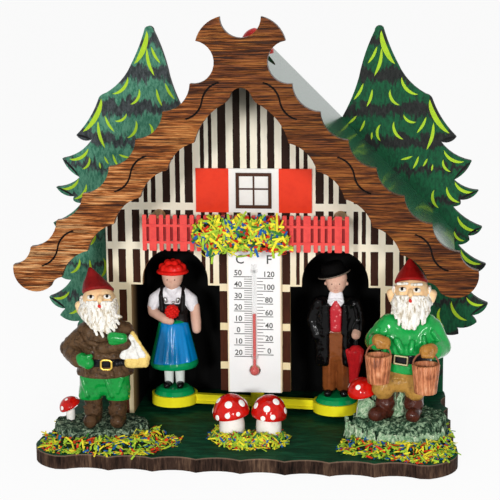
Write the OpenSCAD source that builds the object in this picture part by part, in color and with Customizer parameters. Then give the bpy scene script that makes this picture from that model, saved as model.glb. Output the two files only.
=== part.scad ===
// Weather house: a gabled wooden house on a scalloped board. A gut string hangs from a knob on
// the ridge and turns a beam, which carries one figure out of its doorway as the other goes in.
// Millimetres, +Z up, the front faces -Y, the origin lies under the middle of the base.

/* [Base] */
// Width of the base over its cusps
base_w = 148; // [144:1:165]
// Depth of the base over its cusps
base_d = 96; // [94:1:110]
// Thickness of the base
base_t = 5; // [3:0.5:8]
// Radius of the base's corners
base_corner_r = 9.5; // [6:0.5:12]
// Length of a front corner's curve along the side
base_corner_run = 17; // [10:0.5:22]
// Pitch of the scallops along the base's edge
base_scallop = 15.3; // [12:0.1:18]
// Depth of those scallops
base_bite = 2.3; // [1:0.1:3]
// Narrowing of the base on each side towards the back
base_taper = 4; // [0:0.5:5]
// Lawn from the base's front edge to the face of the house
front_yard = 51.4; // [50:0.2:54]

/* [House] */
// Width of the front panel
panel_w = 110; // [104:1:114]
// Thickness of the front panel
panel_t = 3; // [2:0.25:3.5]
// Depth of the house from the panel's face to the back wall's rear face
house_d = 37; // [36:0.5:39]
// Thickness of the side and back walls
wall_t = 3; // [2:0.25:3.5]
// Width of the pillar between the doorways
pillar_w = 25.9; // [24:0.1:27]
// Gap under the pillar that the beam's arms pass through
pillar_gap = 9.6; // [9:0.1:11]
// Width of a doorway
door_w = 33.05; // [32.5:0.05:34.5]
// Height of a doorway up to the shoulders of its arch
door_h = 49.5; // [48.5:0.5:51]
// Radius of the arch over a doorway
arch_r = 12.2; // [11.5:0.1:13]
// Height of the arch's straight sides over the shoulders
arch_rise = 1.6; // [0:0.1:2.5]

/* [Roof] */
// Height of the ridge over the top of the base
ridge_h = 137.4; // [136:0.2:140]
// Thickness of the roof panels
roof_t = 3; // [2:0.25:3.5]
// Reach of the roof from its middle to the eave
roof_reach = 72.5; // [70:0.5:75]
// Porch from the front panel to the fascia's front face
porch = 38; // [35:0.5:41]

/* [Fascia] */
// Thickness of the fascia
fascia_t = 3; // [2:0.25:4]
// Height of the outer cusps over the roof
fascia_rise = 7.2; // [6:0.1:8]
// Drop of the inner cusps under the roof's top
fascia_drop = 13.9; // [12:0.1:15]
// Sideways run of one scallop
fascia_run = 9.43; // [9.2:0.01:9.6]
// Depth of the outer scallops
fascia_bite = 2.6; // [1.5:0.1:3]
// Depth of the inner scallops
fascia_inner_bite = 1.9; // [1.5:0.1:3]
// Height of the horns over the ridge
horn_h = 12.3; // [10:0.1:14]
// Width of the carved grooves
groove_w = 0.7; // [0.5:0.1:1]
// Depth of the carved grooves
groove_depth = 0.8; // [0.4:0.1:1.2]

/* [Trees] */
// Thickness of the tree boards
tree_t = 3; // [2:0.25:3.5]
// Height of the trees over the base
tree_h = 142; // [135:1:148]

/* [Thermometer] */
// Width of the scale plate
plate_w = 19.9; // [18:0.1:22]
// Height of the scale plate
plate_h = 54; // [52:0.5:56]
// Thickness of the scale plate
plate_t = 1.8; // [1.2:0.1:2.4]
// Outer radius of the glass tube
tube_r = 1; // [0.8:0.05:1.2]
// Bore radius of the glass tube
tube_bore_r = 0.4; // [0.3:0.05:0.5]
// Height of the tube over the bulb's centre
tube_h = 40; // [36:0.5:43]
// Radius of the bulb
bulb_r = 1.85; // [1.5:0.05:2]
// Height of the bulb over the plate's lower edge
bulb_h = 8.5; // [6:0.1:10]
// Height of the red column over the bulb's centre
column_h = 21.7; // [5:0.1:34]
// Glass left around the liquid in the bulb
bulb_wall = 0.35; // [0.25:0.05:0.5]
// Thickness of the two clips
clip_t = 0.35; // [0.2:0.05:0.5]

/* [Window] */
// Width of the white window plate
window_w = 18.3; // [16:0.1:20]
// Height of the window plate and the shutters
window_h = 16.05; // [15:0.05:17]
// Height of the window's lower edge over the base
window_sill = 77.05; // [76:0.05:79]
// Thickness of the window plate
window_t = 0.8; // [0.5:0.1:1.2]
// Width of a shutter
shutter_w = 11.95; // [10:0.05:13]
// Thickness of a shutter
shutter_t = 1.2; // [0.8:0.1:2]
// Side of the square sash
sash_w = 13; // [11:0.1:14]
// Width of the sash's frame
sash_bar = 1.2; // [0.8:0.1:1.6]
// Width of the glazing bars
mullion_w = 0.55; // [0.4:0.05:0.9]
// Thickness of the sash
sash_t = 0.6; // [0.4:0.1:1]

/* [Railing] */
// Height of the pickets
railing_h = 13.1; // [12:0.1:14]
// Height of the pickets' lower ends over the base
railing_z = 65.1; // [64:0.1:66]
// Width of one bay, with one wide and three narrow pickets
bay_w = 11.07; // [10.8:0.01:11.3]
// Bays in the railing
bays = 6; // [4:1:6]
// Width of the wide pickets
picket_wide = 2.6; // [2.2:0.1:3]
// Width of the narrow pickets
picket_narrow = 1.48; // [1.2:0.02:1.7]
// Thickness of the pickets
picket_t = 1.3; // [1:0.1:2]
// Thickness of the web behind the pickets
web_t = 0.7; // [0.5:0.1:1]
// Length of the pegs between panel and railing
peg_l = 12; // [10:0.5:14]
// Radius of the pegs
peg_r = 2.5; // [1.8:0.1:2.8]
// Sideways offset of the railing
railing_shift = -1.8; // [-3:0.1:0]
// Depth of the clump of shavings on the railing
clump_d = 4.4; // [3:0.1:5]

/* [Weather beam] */
// Distance of the pivot behind the panel's face
pivot_back = 6; // [5.8:0.1:7]
// Radius of the trays' centres about the pivot
beam_r = 31; // [30:0.1:31.5]
// Shift of both trays along the beam to the lady's side
beam_shift = 1.1; // [0:0.1:1.5]
// Radius of a tray
tray_r = 8.66; // [8:0.02:9]
// Height of a tray
tray_h = 3.8; // [3:0.1:4.5]
// Wall of a tray
tray_wall = 0.9; // [0.7:0.05:1.2]
// Floor of a tray
tray_floor = 1.2; // [0.8:0.1:1.6]
// Gap between the base and the trays
beam_lift = 2.1; // [1.5:0.1:3]
// Width of an arm
arm_w = 2.4; // [2:0.1:3]
// Height of an arm
arm_h = 3.6; // [3:0.1:4]
// Depth of the hollow along each side of an arm
arm_hollow = 0.8; // [0.4:0.05:0.9]
// Radius of the hub
hub_r = 2.5; // [2.2:0.05:2.7]
// Height of the hub
hub_h = 6.6; // [6:0.1:6.7]
// Radius of the gut string
gut_r = 0.4; // [0.3:0.05:0.5]
// Radius of the plug that grips the gut
plug_r = 1.4; // [1.1:0.05:1.6]
// Height of the plug
plug_h = 3.6; // [2.5:0.1:4]
// Turn of the beam at rest, with the man a little forward
rest_turn = -6; // [-15:1:15]

/* [Adjusting knob] */
// Radius of the knob's grip
knob_r = 4.6; // [4:0.1:5]
// Radius of the knob's flange
flange_r = 7; // [6:0.1:7.2]
// Height of the knob
knob_h = 9; // [8:0.1:11]
// Radius of the spindle
spindle_r = 1.2; // [1:0.05:1.4]
// Outer radius of the bush
bush_r = 2; // [1.8:0.05:2.2]
// Radial running clearance of the spindle
run_clear = 0.05; // [0.02:0.01:0.09]
// Gap under the knob and over the collar
end_play = 0.15; // [0.1:0.05:0.3]
// Radius of the collar
collar_r = 2.2; // [1.8:0.05:2.6]
// Height of the collar
collar_h = 1.6; // [1:0.1:2]
// Height of the ridge block
block_h = 12; // [10:0.5:14]
// Length of the ridge block
block_l = 18; // [14:0.5:20]

/* [Figures] */
// Height of the lady over their stand
lady_h = 49.5; // [46:0.5:50]
// Height of the man over their stand
man_h = 50; // [46:0.5:50.5]
// Height of a stand
stand_h = 5; // [4.6:0.1:5.4]
// Height of the left gnome
left_gnome_h = 57.7; // [54:0.1:60]
// Height of the right gnome
right_gnome_h = 58.1; // [54:0.1:60]
// Height of the left rock
left_rock_h = 4; // [3:0.5:6]
// Height of the right rock
right_rock_h = 8; // [6:0.5:9]

/* [Garden] */
// Radius of the front toadstools' caps
cap_r = 6.5; // [5.5:0.1:6.5]
// Height of the front toadstools' stems
stem_h = 8.2; // [6:0.1:10]
// Radius of the right rock's toadstool cap
right_cap_r = 4.5; // [4:0.1:4.8]
// Radius of the left rock's toadstool cap
left_cap_r = 3.6; // [3:0.1:4]
// Height of the flower beds
bed_h = 2.4; // [1.5:0.1:3]

/* [Hidden] */
$fn = 48;
// Facets of the rounded limbs of the figures
limb_fn = 14;
// Overshoot of cutting tools
cut = 1;

// Levels and planes that the house is set out from
ground = base_t;
face_y = front_yard - base_d / 2;
panel_back = face_y + panel_t;
rear_y = face_y + house_d;
wall_front = rear_y - wall_t;
fascia_y = face_y - porch;
fascia_back = fascia_y + fascia_t;
peak = ground + ridge_h;
eave_under = peak - roof_t * sqrt(2);
wall_in = pillar_w / 2 + door_w;
wall_out = wall_in + wall_t;
arch_x = (pillar_w / 2 + wall_in) / 2;
pillar_foot = ground + pillar_gap;

// Thermometer
plate_face = face_y - plate_t;
tube_y = plate_face - tube_r;
bulb_z = pillar_foot + bulb_h;
bulb_hole_r = bulb_r + 0.25;

// Knob and pivot
pivot_y = face_y + pivot_back;
block_z = eave_under - block_h;
flange_z = eave_under + 1;
knob_hole_r = flange_r + 0.5;
bore_r = spindle_r + run_clear;
spindle_top = flange_z + 0.55 * knob_h;
collar_z = block_z - end_play - collar_h;
spindle_foot = collar_z - 3;
gut_socket = 2.5;

// Beam and figures
tray_z = ground + beam_lift;
stand_r = tray_r - tray_wall - 0.1;
swing_r = beam_r + beam_shift + tray_r + 1.5;
foot_z = stand_h;
lady_ref = 49.5;
man_ref = 50;
left_gnome_ref = 57.7;
right_gnome_ref = 58.1;

// Railing
railing_back = face_y - peg_l;
picket_front = railing_back - web_t - picket_t;
picket_step = (bay_w - picket_wide - 3 * picket_narrow) / 4;
web_top = 1.6;
web_foot = 2.5;
rail_h = 0.9;
rail_lap = 0.3;
first_picket = railing_shift - (bays * bay_w + picket_wide + 2 * (picket_step + picket_narrow)) / 2;
railing_foot = ground + railing_z;
peg_x = (bays * bay_w) / 2;
peg_z = railing_foot + 0.78 * railing_h;

// Garden places on the base
left_rock_at = [-53.5, face_y - 24];
right_rock_at = [53.5, face_y - 20];
left_gnome_at = [-51, face_y - 26];
right_gnome_at = [53, face_y - 23];
front_stools_at = [[-5.5, face_y - 28.3], [7.6, face_y - 27.7]];
left_stool_at = [-65.2, face_y - 22];
right_stool_at = [39.2, face_y - 20.6];
left_bed_at = [-50, face_y - 27.4];
middle_bed_at = [0.6, face_y - 29.2];
right_bed_at = [53, face_y - 26.4];
rock_size = [17.3, 15];
stem_share = 0.6;

// Points of an arc from p to q, without q, that bulges by s to the left of the way from p to q
function arc(p, q, s, n = 8) =
    let (c = norm(q - p), d = (q - p) / c, l = [-d.y, d.x], h = sign(s),
         r = (c * c / 4 + s * s) / (2 * abs(s)), a = 2 * atan2(2 * abs(s), c),
         o = (p + q) / 2 + l * (s - h * r))
    [for (i = [0 : n - 1]) let (t = -a + 2 * a * i / n) o + r * (h * l * cos(t) + d * sin(t))];

// Outline through rows of x, z and the bulge of the edge that arrives there, clockwise
function arcs(rows, n = 6) =
    [for (i = [0 : len(rows) - 1])
        let (p = rows[i], q = rows[(i + 1) % len(rows)], a = [p.x, p.y], b = [q.x, q.y])
        each (q[2] == 0 ? [a] : arc(a, b, q[2], n))];

function reversed(list) = [for (i = [len(list) - 1 : -1 : 0]) list[i]];
function mirrored(list) = [for (p = reversed(list)) [-p.x, p.y]];

// Edge from p to q with as many scallops as fit between its margins
function scalloped(p, q, margin) =
    let (l = norm(q - p), d = (q - p) / l, n = floor((l - 2 * margin) / base_scallop),
         s = (l - n * base_scallop) / 2)
    concat([p], [for (i = [0 : n - 1])
        each arc(p + d * (s + i * base_scallop), p + d * (s + (i + 1) * base_scallop), -base_bite, 6)],
        [q - d * s]);

// A closed board in the X-Z plane with its front face at y
module board(y, t) translate([0, y + t, 0]) rotate([90, 0, 0]) linear_extrude(t) children();

module mirror_x() mirror([1, 0, 0]) children();

// House

module base_plate() {
    w = base_w / 2;
    b = w - base_taper;
    d = base_d / 2;
    r = base_corner_r;
    f = base_corner_run;
    k = r * (1 - cos(45));
    kf = (sqrt(2) - 1) * r * f / norm([r, f]);
    color("darkgreen") linear_extrude(base_t) polygon(concat(
        scalloped([-b + r, d], [b - r, d], 2), arc([b - r, d], [b, d - r], k),
        scalloped([b, d - r], [w, -d + f], 2), arc([w, -d + f], [w - r, -d], kf),
        scalloped([w - r, -d], [-w + r, -d], 2), arc([-w + r, -d], [-w, -d + f], kf),
        scalloped([-w, -d + f], [-b, d - r], 2), arc([-b, d - r], [-b + r, d], k)));
}

// Gable outline that reaches the roof's underside
module gable(half) polygon([[-half, ground], [-half, eave_under - half], [0, eave_under],
                            [half, eave_under - half], [half, ground]]);

module doorway() {
    translate([pillar_w / 2, ground - cut]) square([door_w, door_h + cut]);
    translate([arch_x - arch_r, ground + door_h - cut]) square([2 * arch_r, arch_rise + cut]);
    translate([arch_x, ground + door_h + arch_rise]) circle(arch_r);
}

module front_panel() {
    color("wheat") board(face_y, panel_t) difference() {
        gable(panel_w / 2);
        doorway();
        mirror_x() doorway();
        translate([-wall_in, ground - cut]) square([2 * wall_in, pillar_gap + cut]);
    }
}

module back_wall() color("dimgray") board(wall_front, wall_t) gable(wall_out);

module right_side_wall() {
    color("tan") board(panel_back, wall_front - panel_back)
        polygon([[wall_in, ground], [wall_out, ground],
                 [wall_out, eave_under - wall_out], [wall_in, eave_under - wall_in]]);
}

module left_side_wall() mirror_x() right_side_wall();

module right_roof_panel() {
    drop = roof_t / sqrt(2);
    color("seagreen") difference() {
        board(fascia_back, rear_y - fascia_back)
            polygon([[0, peak], [roof_reach, peak - roof_reach],
                     [roof_reach - drop, peak - roof_reach - drop], [0, eave_under]]);
        translate([0, pivot_y, eave_under - 2 * flange_r]) cylinder(h = 4 * flange_r, r = knob_hole_r);
    }
}

module left_roof_panel() mirror_x() right_roof_panel();

// Fascia

// Cusps stand on two sloping lines, one above the roof and one below it
outer_first = 17.25;
outer_sum = peak + fascia_rise;
inner_first = 16.1;
inner_sum = peak - fascia_drop;
scallops = 6;
tail_run = 6.35;
function outer_cusp(i) = let (x = outer_first + i * fascia_run) [x, outer_sum - x];
function inner_cusp(i) = let (x = inner_first + i * fascia_run) [x, inner_sum - x];

module gable_fascia() {
    last = outer_cusp(scallops);
    tip = [last.x + tail_run, outer_sum - last.x - tail_run];
    lobe = [tip.x - 12.9, tip.y - 7.6];
    notch = [0, peak + horn_h - 7.1];
    horn = [7, peak + horn_h];
    wing = [15.1, peak + horn_h - 8];
    crook = [5.35, inner_sum - 2.65];
    waist = [3.5, crook.y + 2.6];
    apex = [0, crook.y + 5.15];
    half = concat(
        arc(notch, horn, -2.05), arc(horn, wing, 1.6), arc(wing, outer_cusp(0), -7.2, 14),
        [for (i = [0 : scallops - 1]) each arc(outer_cusp(i), outer_cusp(i + 1), -fascia_bite)],
        arc(last, tip, -1.6), arc(tip, lobe, 5.3, 14), arc(lobe, inner_cusp(scallops - 1), -0.8, 4),
        [for (i = [scallops - 1 : -1 : 1]) each arc(inner_cusp(i), inner_cusp(i - 1), -fascia_inner_bite)],
        arc(inner_cusp(0), crook, -fascia_inner_bite), arc(crook, waist, 0.2, 4), arc(waist, apex, -0.75));
    color("saddlebrown") difference() {
        board(fascia_y, fascia_t) polygon(concat(half, [apex], mirrored(half)));
        for (side = [0, 1], x = [7.4, 32.4, 58.6]) mirror([side, 0, 0])
            board(fascia_y - cut, cut + groove_depth) groove([x, peak - 2.2 - x]);
    }
}

// S-shaped carved line that runs down the slope from p
module groove(p) {
    q = p + [11.5, -12.4];
    m = (p + q) / 2;
    n = [0.73, 0.68] * groove_w / 2;
    path = concat(arc(p, m, 1.3), arc(m, q, -1.3), [q]);
    polygon(concat([for (a = path) a + n], [for (a = reversed(path)) a - n]));
}

// Trees

// Right-hand tree from its inner foot, over the tip and down its branches: x, height and bulge
tree_rows = [[30, 0, 0], [30, 107.6, 0], [36.2, 122.6, -0.5], [42, 140, 0.6], [45.3, 141.2, 1.3],
             [50.9, 127.5, -0.4], [61.5, 116.2, -1.3], [64.2, 113.6, 0.6], [73.1, 100.1, -0.9],
             [67.1, 98.3, 1.2], [78.9, 90.9, -1.4], [72.3, 83.6, 1], [81.7, 79.6, -1],
             [74.7, 76, 1.2], [74.9, 74.2, 0.3], [71.9, 73.4, 0.3], [83.3, 65.5, -1],
             [77.7, 62.2, 1.2], [78.6, 60.4, 0.3], [74.1, 58.6, 0.6], [85, 51, -1],
             [79.6, 47.6, 1], [82.3, 45.2, 0.3], [77, 42.6, 0.8], [86, 35.6, -1],
             [79.5, 30.9, 1.4], [81.9, 28.2, 0.2], [74.1, 26, 1], [75, 23.4, 0.3],
             [70.2, 23, 0.3], [69.3, 17, 0], [69.3, 0, 0]];

module right_tree() {
    k = tree_h / 142;
    color("darkgreen") board(rear_y, tree_t) polygon([for (p = arcs(tree_rows)) [p.x, ground + k * p.y]]);
}

module left_tree() mirror_x() right_tree();

// Window

module window_plate() {
    color("white") board(face_y - window_t, window_t)
        translate([-window_w / 2, ground + window_sill]) square([window_w, window_h]);
}

module window_sash() {
    pane = sash_w - 2 * sash_bar;
    color("saddlebrown") board(face_y - window_t - sash_t, sash_t)
        translate([0, ground + window_sill + window_h / 2]) {
            difference() {
                square(sash_w, center = true);
                square(pane, center = true);
            }
            square([mullion_w, pane + sash_bar], center = true);
            translate([0, 0.05 * sash_w]) square([pane + sash_bar, mullion_w], center = true);
        }
}

module right_shutter() {
    color("orangered") board(face_y - shutter_t, shutter_t)
        translate([window_w / 2, ground + window_sill]) square([shutter_w, window_h]);
}

module left_shutter() mirror_x() right_shutter();

module gable_pin() {
    color("black") translate([-30, face_y, peak - 40.3]) rotate([90, 0, 0]) {
        cylinder(h = 1.2, r = 0.5);
        translate([0, 0, 1.2]) cylinder(h = 0.6, r = 0.9);
    }
}

// Railing

// One picket with its left edge at x
module picket(x, w) {
    taper = 0.25;
    color("indianred") board(picket_front, picket_t)
        polygon([[x, railing_foot + taper], [x + taper, railing_foot], [x + w - taper, railing_foot],
                 [x + w, railing_foot + taper], [x + w, railing_foot + railing_h - taper],
                 [x + w - taper, railing_foot + railing_h], [x + taper, railing_foot + railing_h],
                 [x, railing_foot + railing_h - taper]]);
}

module railing() {
    step = picket_step + picket_narrow;
    wide_x = first_picket + step;
    length = bays * bay_w + picket_wide + 2 * step;
    color("indianred") {
        board(railing_back - web_t, web_t) translate([first_picket, railing_foot + web_foot])
            square([length, railing_h - web_top - web_foot]);
        for (z = [web_foot + 0.2, railing_h - web_top - 1.8 - rail_h])
            board(picket_front - rail_lap, picket_t + rail_lap)
                translate([first_picket, railing_foot + z]) square([length, rail_h]);
    }
    picket(first_picket, picket_narrow);
    for (i = [0 : bays]) picket(wide_x + i * bay_w, picket_wide);
    for (i = [0 : bays - 1], k = [0 : 2])
        picket(wide_x + i * bay_w + picket_wide + picket_step + k * step, picket_narrow);
    picket(wide_x + bays * bay_w + picket_wide + picket_step, picket_narrow);
}

module railing_pegs() {
    color("peru") for (side = [-1, 1]) translate([railing_shift + side * peg_x, face_y, peg_z])
        rotate([90, 0, 0]) cylinder(h = peg_l, r = peg_r);
}

// Clump of shavings glued to the front of the railing
module railing_flowers() {
    front = picket_front - rail_lap;
    middle = railing_shift - 1.6;
    color("yellowgreen") intersection() {
        hull() for (x = [-13.4, -5, 5, 13.4], z = [-2.6, 2.6])
            translate([middle + x, front, railing_foot + 7 + z]) sphere(clump_d, $fn = 16);
        translate([middle - 30, front - 10, railing_foot - 10]) cube([60, 10, 40]);
    }
}

// Thermometer

module thermometer_plate() {
    color("white") difference() {
        translate([-plate_w / 2, plate_face, pillar_foot]) cube([plate_w, plate_t, plate_h]);
        translate([0, face_y + cut, bulb_z]) rotate([90, 0, 0])
            cylinder(h = plate_t + 2 * cut, r = bulb_hole_r);
    }
}

module thermometer_tube() {
    color("lightcyan") translate([0, tube_y, bulb_z]) difference() {
        union() {
            sphere(bulb_r);
            cylinder(h = tube_h, r = tube_r);
        }
        sphere(bulb_r - bulb_wall);
        cylinder(h = tube_h + cut, r = tube_bore_r);
    }
}

module thermometer_fluid() {
    color("red") translate([0, tube_y, bulb_z]) {
        sphere(bulb_r - bulb_wall);
        cylinder(h = column_h, r = tube_bore_r);
    }
}

// Straps that bend round the tube, with straight legs back to the plate
module thermometer_clips() {
    height = 1;
    reach = tube_r + clip_t;
    color("silver") for (z = [0.12, 0.93] * tube_h) translate([0, tube_y, bulb_z + z])
        linear_extrude(height) difference() {
            union() {
                circle(reach);
                translate([-reach, 0]) square([2 * reach, tube_r]);
            }
            circle(tube_r);
            translate([-tube_r, 0]) square([2 * tube_r, tube_r + cut]);
        }
}

// Knob and pivot

module ridge_block() {
    color("burlywood") difference() {
        board(panel_back, block_l) polygon([[-block_h, block_z], [0, eave_under], [block_h, block_z]]);
        translate([0, pivot_y, block_z - cut]) cylinder(h = block_h + 2 * cut, r = bush_r);
    }
}

module spindle_bush() {
    color("goldenrod") translate([0, pivot_y, block_z]) difference() {
        cylinder(h = flange_z - end_play - block_z, r = bush_r);
        translate([0, 0, -cut]) cylinder(h = flange_z - block_z + 2 * cut, r = bore_r);
    }
}

module knob_spindle() {
    color("silver") translate([0, pivot_y, spindle_foot]) difference() {
        cylinder(h = spindle_top - spindle_foot, r = spindle_r);
        translate([0, 0, -cut]) cylinder(h = gut_socket + cut, r = gut_r + run_clear);
    }
}

module spindle_collar() {
    color("silver") translate([0, pivot_y, collar_z]) difference() {
        cylinder(h = collar_h, r = collar_r);
        translate([0, 0, -cut]) cylinder(h = collar_h + 2 * cut, r = spindle_r);
    }
}

module adjusting_knob() {
    rim = 1.4;
    color("red") translate([0, pivot_y, flange_z]) difference() {
        rotate_extrude() polygon(concat([[0, 0], [flange_r, 0], [flange_r, rim]],
            reversed(arc([knob_r, 0.55 * knob_h], [flange_r, rim], -0.5, 6)),
            reversed(arc([0, knob_h], [knob_r, 0.55 * knob_h], 0.9, 8))));
        translate([0, 0, -cut]) cylinder(h = spindle_top - flange_z + cut, r = spindle_r);
    }
}

module gut_string() {
    color("khaki") translate([0, pivot_y, tray_z + tray_floor])
        cylinder(h = spindle_foot + gut_socket - end_play - tray_z - tray_floor, r = gut_r);
}

module gut_plug() {
    color("ivory") translate([0, pivot_y, tray_z + hub_h - plug_h]) difference() {
        cylinder(h = plug_h, r = plug_r);
        translate([0, 0, -cut]) cylinder(h = plug_h + 2 * cut, r = gut_r);
    }
}

// Places a tray's contents on the turned beam, on the side given by -1 or 1
module on_beam(side) translate([0, pivot_y, tray_z]) rotate(rest_turn)
    translate([side * beam_r - beam_shift, 0, 0]) children();

module weather_beam() {
    reach = beam_r - tray_r + tray_wall / 2;
    web = arm_w - 2 * arm_hollow;
    lip = 0.9;
    color("gold") difference() {
        union() {
            translate([0, pivot_y, tray_z]) cylinder(h = hub_h, r = hub_r);
            for (side = [-1, 1]) on_beam(side) cylinder(h = tray_h, r = tray_r);
            translate([0, pivot_y, tray_z]) rotate(rest_turn) {
                translate([-reach - beam_shift, -web / 2, 0]) cube([2 * reach, web, arm_h]);
                for (z = [0, arm_h - lip]) translate([-reach - beam_shift, -arm_w / 2, z])
                    cube([2 * reach, arm_w, lip]);
            }
        }
        for (side = [-1, 1]) on_beam(side)
            translate([0, 0, tray_floor]) cylinder(h = tray_h, r = tray_r - tray_wall);
        translate([0, pivot_y, tray_z + tray_floor]) cylinder(h = hub_h, r = gut_r);
        translate([0, pivot_y, tray_z + hub_h - plug_h]) cylinder(h = plug_h + cut, r = plug_r);
    }
}

module stand() {
    rotate_extrude() polygon([[0, 0], [stand_r, 0], [stand_r, stand_h - 2.2], [stand_r - 0.7, stand_h - 0.9],
                              [stand_r - 2.2, stand_h], [0, stand_h]]);
}

module lady_stand() color("green") on_beam(-1) translate([0, 0, tray_floor]) stand();
module man_stand() color("green") on_beam(1) translate([0, 0, tray_floor]) stand();

// Figures, built on limbs that swell between two points

module ball(p, r) translate(p) sphere(r, $fn = limb_fn);

module limb(a, b, ra, rb) hull() {
    ball(a, ra);
    ball(b, rb);
}

module swell(points, r) hull() for (p = points) ball(p, r);

// Keeps what stands above the soles
module on_soles() intersection() {
    children();
    translate([-50, -50, 0]) cube(100);
}

module lady_form() on_soles() {
    for (s = [-1, 1]) {
        limb([2.5 * s, 0.6, 0.9], [2.8 * s, -3.2, 0.8], 1.5, 1.3);
        limb([2.5 * s, 0.4, 1.5], [2.5 * s, 0, 9], 1.7, 2);
        limb([6.2 * s, 0, 34.6], [7.6 * s, 0, 33.2], 2.6, 2.4);
    }
    translate([0, 0, 7.2]) cylinder(h = 17.6, r1 = 9.2, r2 = 5.2, $fn = 28);
    swell([[-2.6, 0, 26], [2.6, 0, 26], [-4.4, 0, 34], [4.4, 0, 34]], 3.1);
    limb([-8.2, -0.3, 31], [-2.2, -5.4, 26.6], 1.7, 1.4);
    limb([8.3, -0.3, 31.5], [9.1, -1.4, 22], 1.6, 1.6);
    ball([-0.6, -6, 29.4], 2.8);
    limb([0, -0.2, 36], [0, -0.3, 39], 2.2, 2.4);
    limb([0, -0.6, 40.7], [0, -0.3, 43], 3.4, 4);
    translate([0, 0, 42.8]) cylinder(h = 1.5, r1 = 6.2, r2 = 5.4, $fn = 24);
    translate([0, 0, 44.4]) scale([1, 1, 0.95]) ball([0, 0, 0], 5.3);
}

module man_form() on_soles() {
    for (s = [-1, 1]) {
        limb([2.7 * s, 0.8, 0.9], [3.1 * s, -3.4, 0.9], 1.6, 1.5);
        limb([2.7 * s, 0.3, 2.4], [2.7 * s, 0, 13], 2.4, 2.7);
        limb([6.4 * s, 0, 34.2], [8.2 * s, 0.3, 27], 2.8, 2.4);
    }
    hull() {
        translate([0, 0.3, 10.4]) scale([1, 0.72, 1]) cylinder(h = 1, r = 7.8, $fn = 24);
        for (s = [-1, 1]) ball([5 * s, 0, 34], 3.3);
    }
    limb([-8.2, 0.3, 27], [-8, -1.4, 19.5], 2.3, 1.8);
    limb([8.2, 0.3, 27], [7.6, -3.4, 24.4], 2.3, 1.7);
    limb([7.5, -4, 23.5], [7.4, -4.2, 18], 0.9, 0.9);
    limb([7.4, -4.2, 16.6], [5.8, -4, 4], 3.1, 0.9);
    limb([0, -0.2, 36], [0, -0.3, 40], 2.2, 2.5);
    limb([0, -0.6, 41.4], [0, -0.3, 43.6], 3.4, 3.9);
    translate([0, 0, 45.2]) rotate([0, -23, 0]) {
        cylinder(h = 1.1, r = 5.8, $fn = 24);
        cylinder(h = 4.2, r1 = 4.4, r2 = 3.7, $fn = 24);
    }
}

module lady_figure() {
    color("royalblue") on_beam(-1) translate([0, 0, tray_floor + foot_z]) rotate(-rest_turn)
        scale(lady_h / lady_ref) lady_form();
}

module man_figure() {
    color("black") on_beam(1) translate([0, 0, tray_floor + foot_z]) rotate(-rest_turn)
        scale(man_h / man_ref) man_form();
}

// Short-legged figure: boots, breeches and the skirt of the coat
module gnome_legs(left, right) {
    for (x = [left, right]) {
        limb([x, 0.4, 2], [x * 1.08, -4.8, 1.7], 3.1, 2.6);
        limb([x, 0.5, 4], [x, 0.3, 9.5], 3.2, 3.5);
        limb([x * 1.06, 0, 12.5], [x * 0.9, 0, 17], 4.6, 5);
    }
}

// Head with its ears, beard and pointed cap, about the middle of the face
module gnome_head(p, cap_tip, beard_foot) {
    ball(p, 7.2);
    for (s = [-1, 1]) ball(p + [7.5 * s, 1, -0.8], 1.9);
    limb(p + [-0.4, -3, -3.8], beard_foot, 6, 1.8);
    hull() {
        translate(p + [-0.4, 0.6, 3.2]) cylinder(h = 0.8, r = 6.7, $fn = 24);
        ball(cap_tip, 0.9);
    }
}

module coat(hem_z, belly, shoulders) {
    hull() {
        translate([belly.x, 0, hem_z]) scale([1, 0.8, 1]) cylinder(h = 1.2, r = 10.2, $fn = 28);
        translate([belly.x, -0.6, belly.y]) scale([1, 0.85, 1]) cylinder(h = 1.2, r = 9.2, $fn = 28);
    }
    hull() {
        translate([belly.x, -0.6, belly.y]) scale([1, 0.85, 1]) cylinder(h = 1.2, r = 9.2, $fn = 28);
        for (x = shoulders) ball([x, 0, belly.y + 10.5], 4.3);
    }
}

module left_gnome_form() on_soles() {
    gnome_legs(-4.5, 4.5);
    coat(17.2, [0.2, 22], [-5.2, 5.6]);
    limb([-7.4, 0, 32.6], [-12.2, -0.8, 26.6], 3.7, 3.5);
    limb([-12.2, -0.8, 26.6], [-6.2, -8, 24.6], 3.4, 2.7);
    limb([7.6, 0, 33.2], [10, -3, 29.6], 3.7, 3.3);
    limb([10, -3, 29.6], [4.6, -8.6, 32.2], 3.2, 2.9);
    swell([[9.6, -6, 33], [14.6, -6.4, 24.6], [9.6, -7.6, 24.2]], 2.2);
    gnome_head([-1.2, -1, 45.2], [-4.6, 0.4, 56.8], [0.4, -7.4, 35]);
}

module right_gnome_form() on_soles() {
    gnome_legs(-4.7, 5.4);
    coat(18, [2.6, 22.4], [-3.4, 10.2]);
    limb([-4.6, 0, 31.6], [-8.6, -2.4, 26.6], 3.7, 3.3);
    limb([-8.6, -2.4, 26.6], [-5.8, -10.6, 29.4], 3.1, 2.6);
    limb([11.6, 0, 31.4], [15, -2, 25.8], 3.7, 3.3);
    limb([15, -2, 25.8], [10.2, -10.6, 27], 3.1, 2.6);
    translate([-6.7, -11, 15.6]) cylinder(h = 12, r1 = 3.2, r2 = 4.2, $fn = 20);
    translate([9.9, -11, 12.2]) cylinder(h = 12.4, r1 = 3.2, r2 = 4.6, $fn = 20);
    gnome_head([4.8, -1, 45.6], [3.4, 0.4, 57.2], [4.5, -7.4, 35]);
}

module left_gnome() {
    color("sienna") translate([left_gnome_at.x, left_gnome_at.y, ground + left_rock_h])
        scale(left_gnome_h / left_gnome_ref) left_gnome_form();
}

module right_gnome() {
    color("green") translate([right_gnome_at.x, right_gnome_at.y, ground + right_rock_h])
        scale(right_gnome_h / right_gnome_ref) right_gnome_form();
}

// Garden

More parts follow.
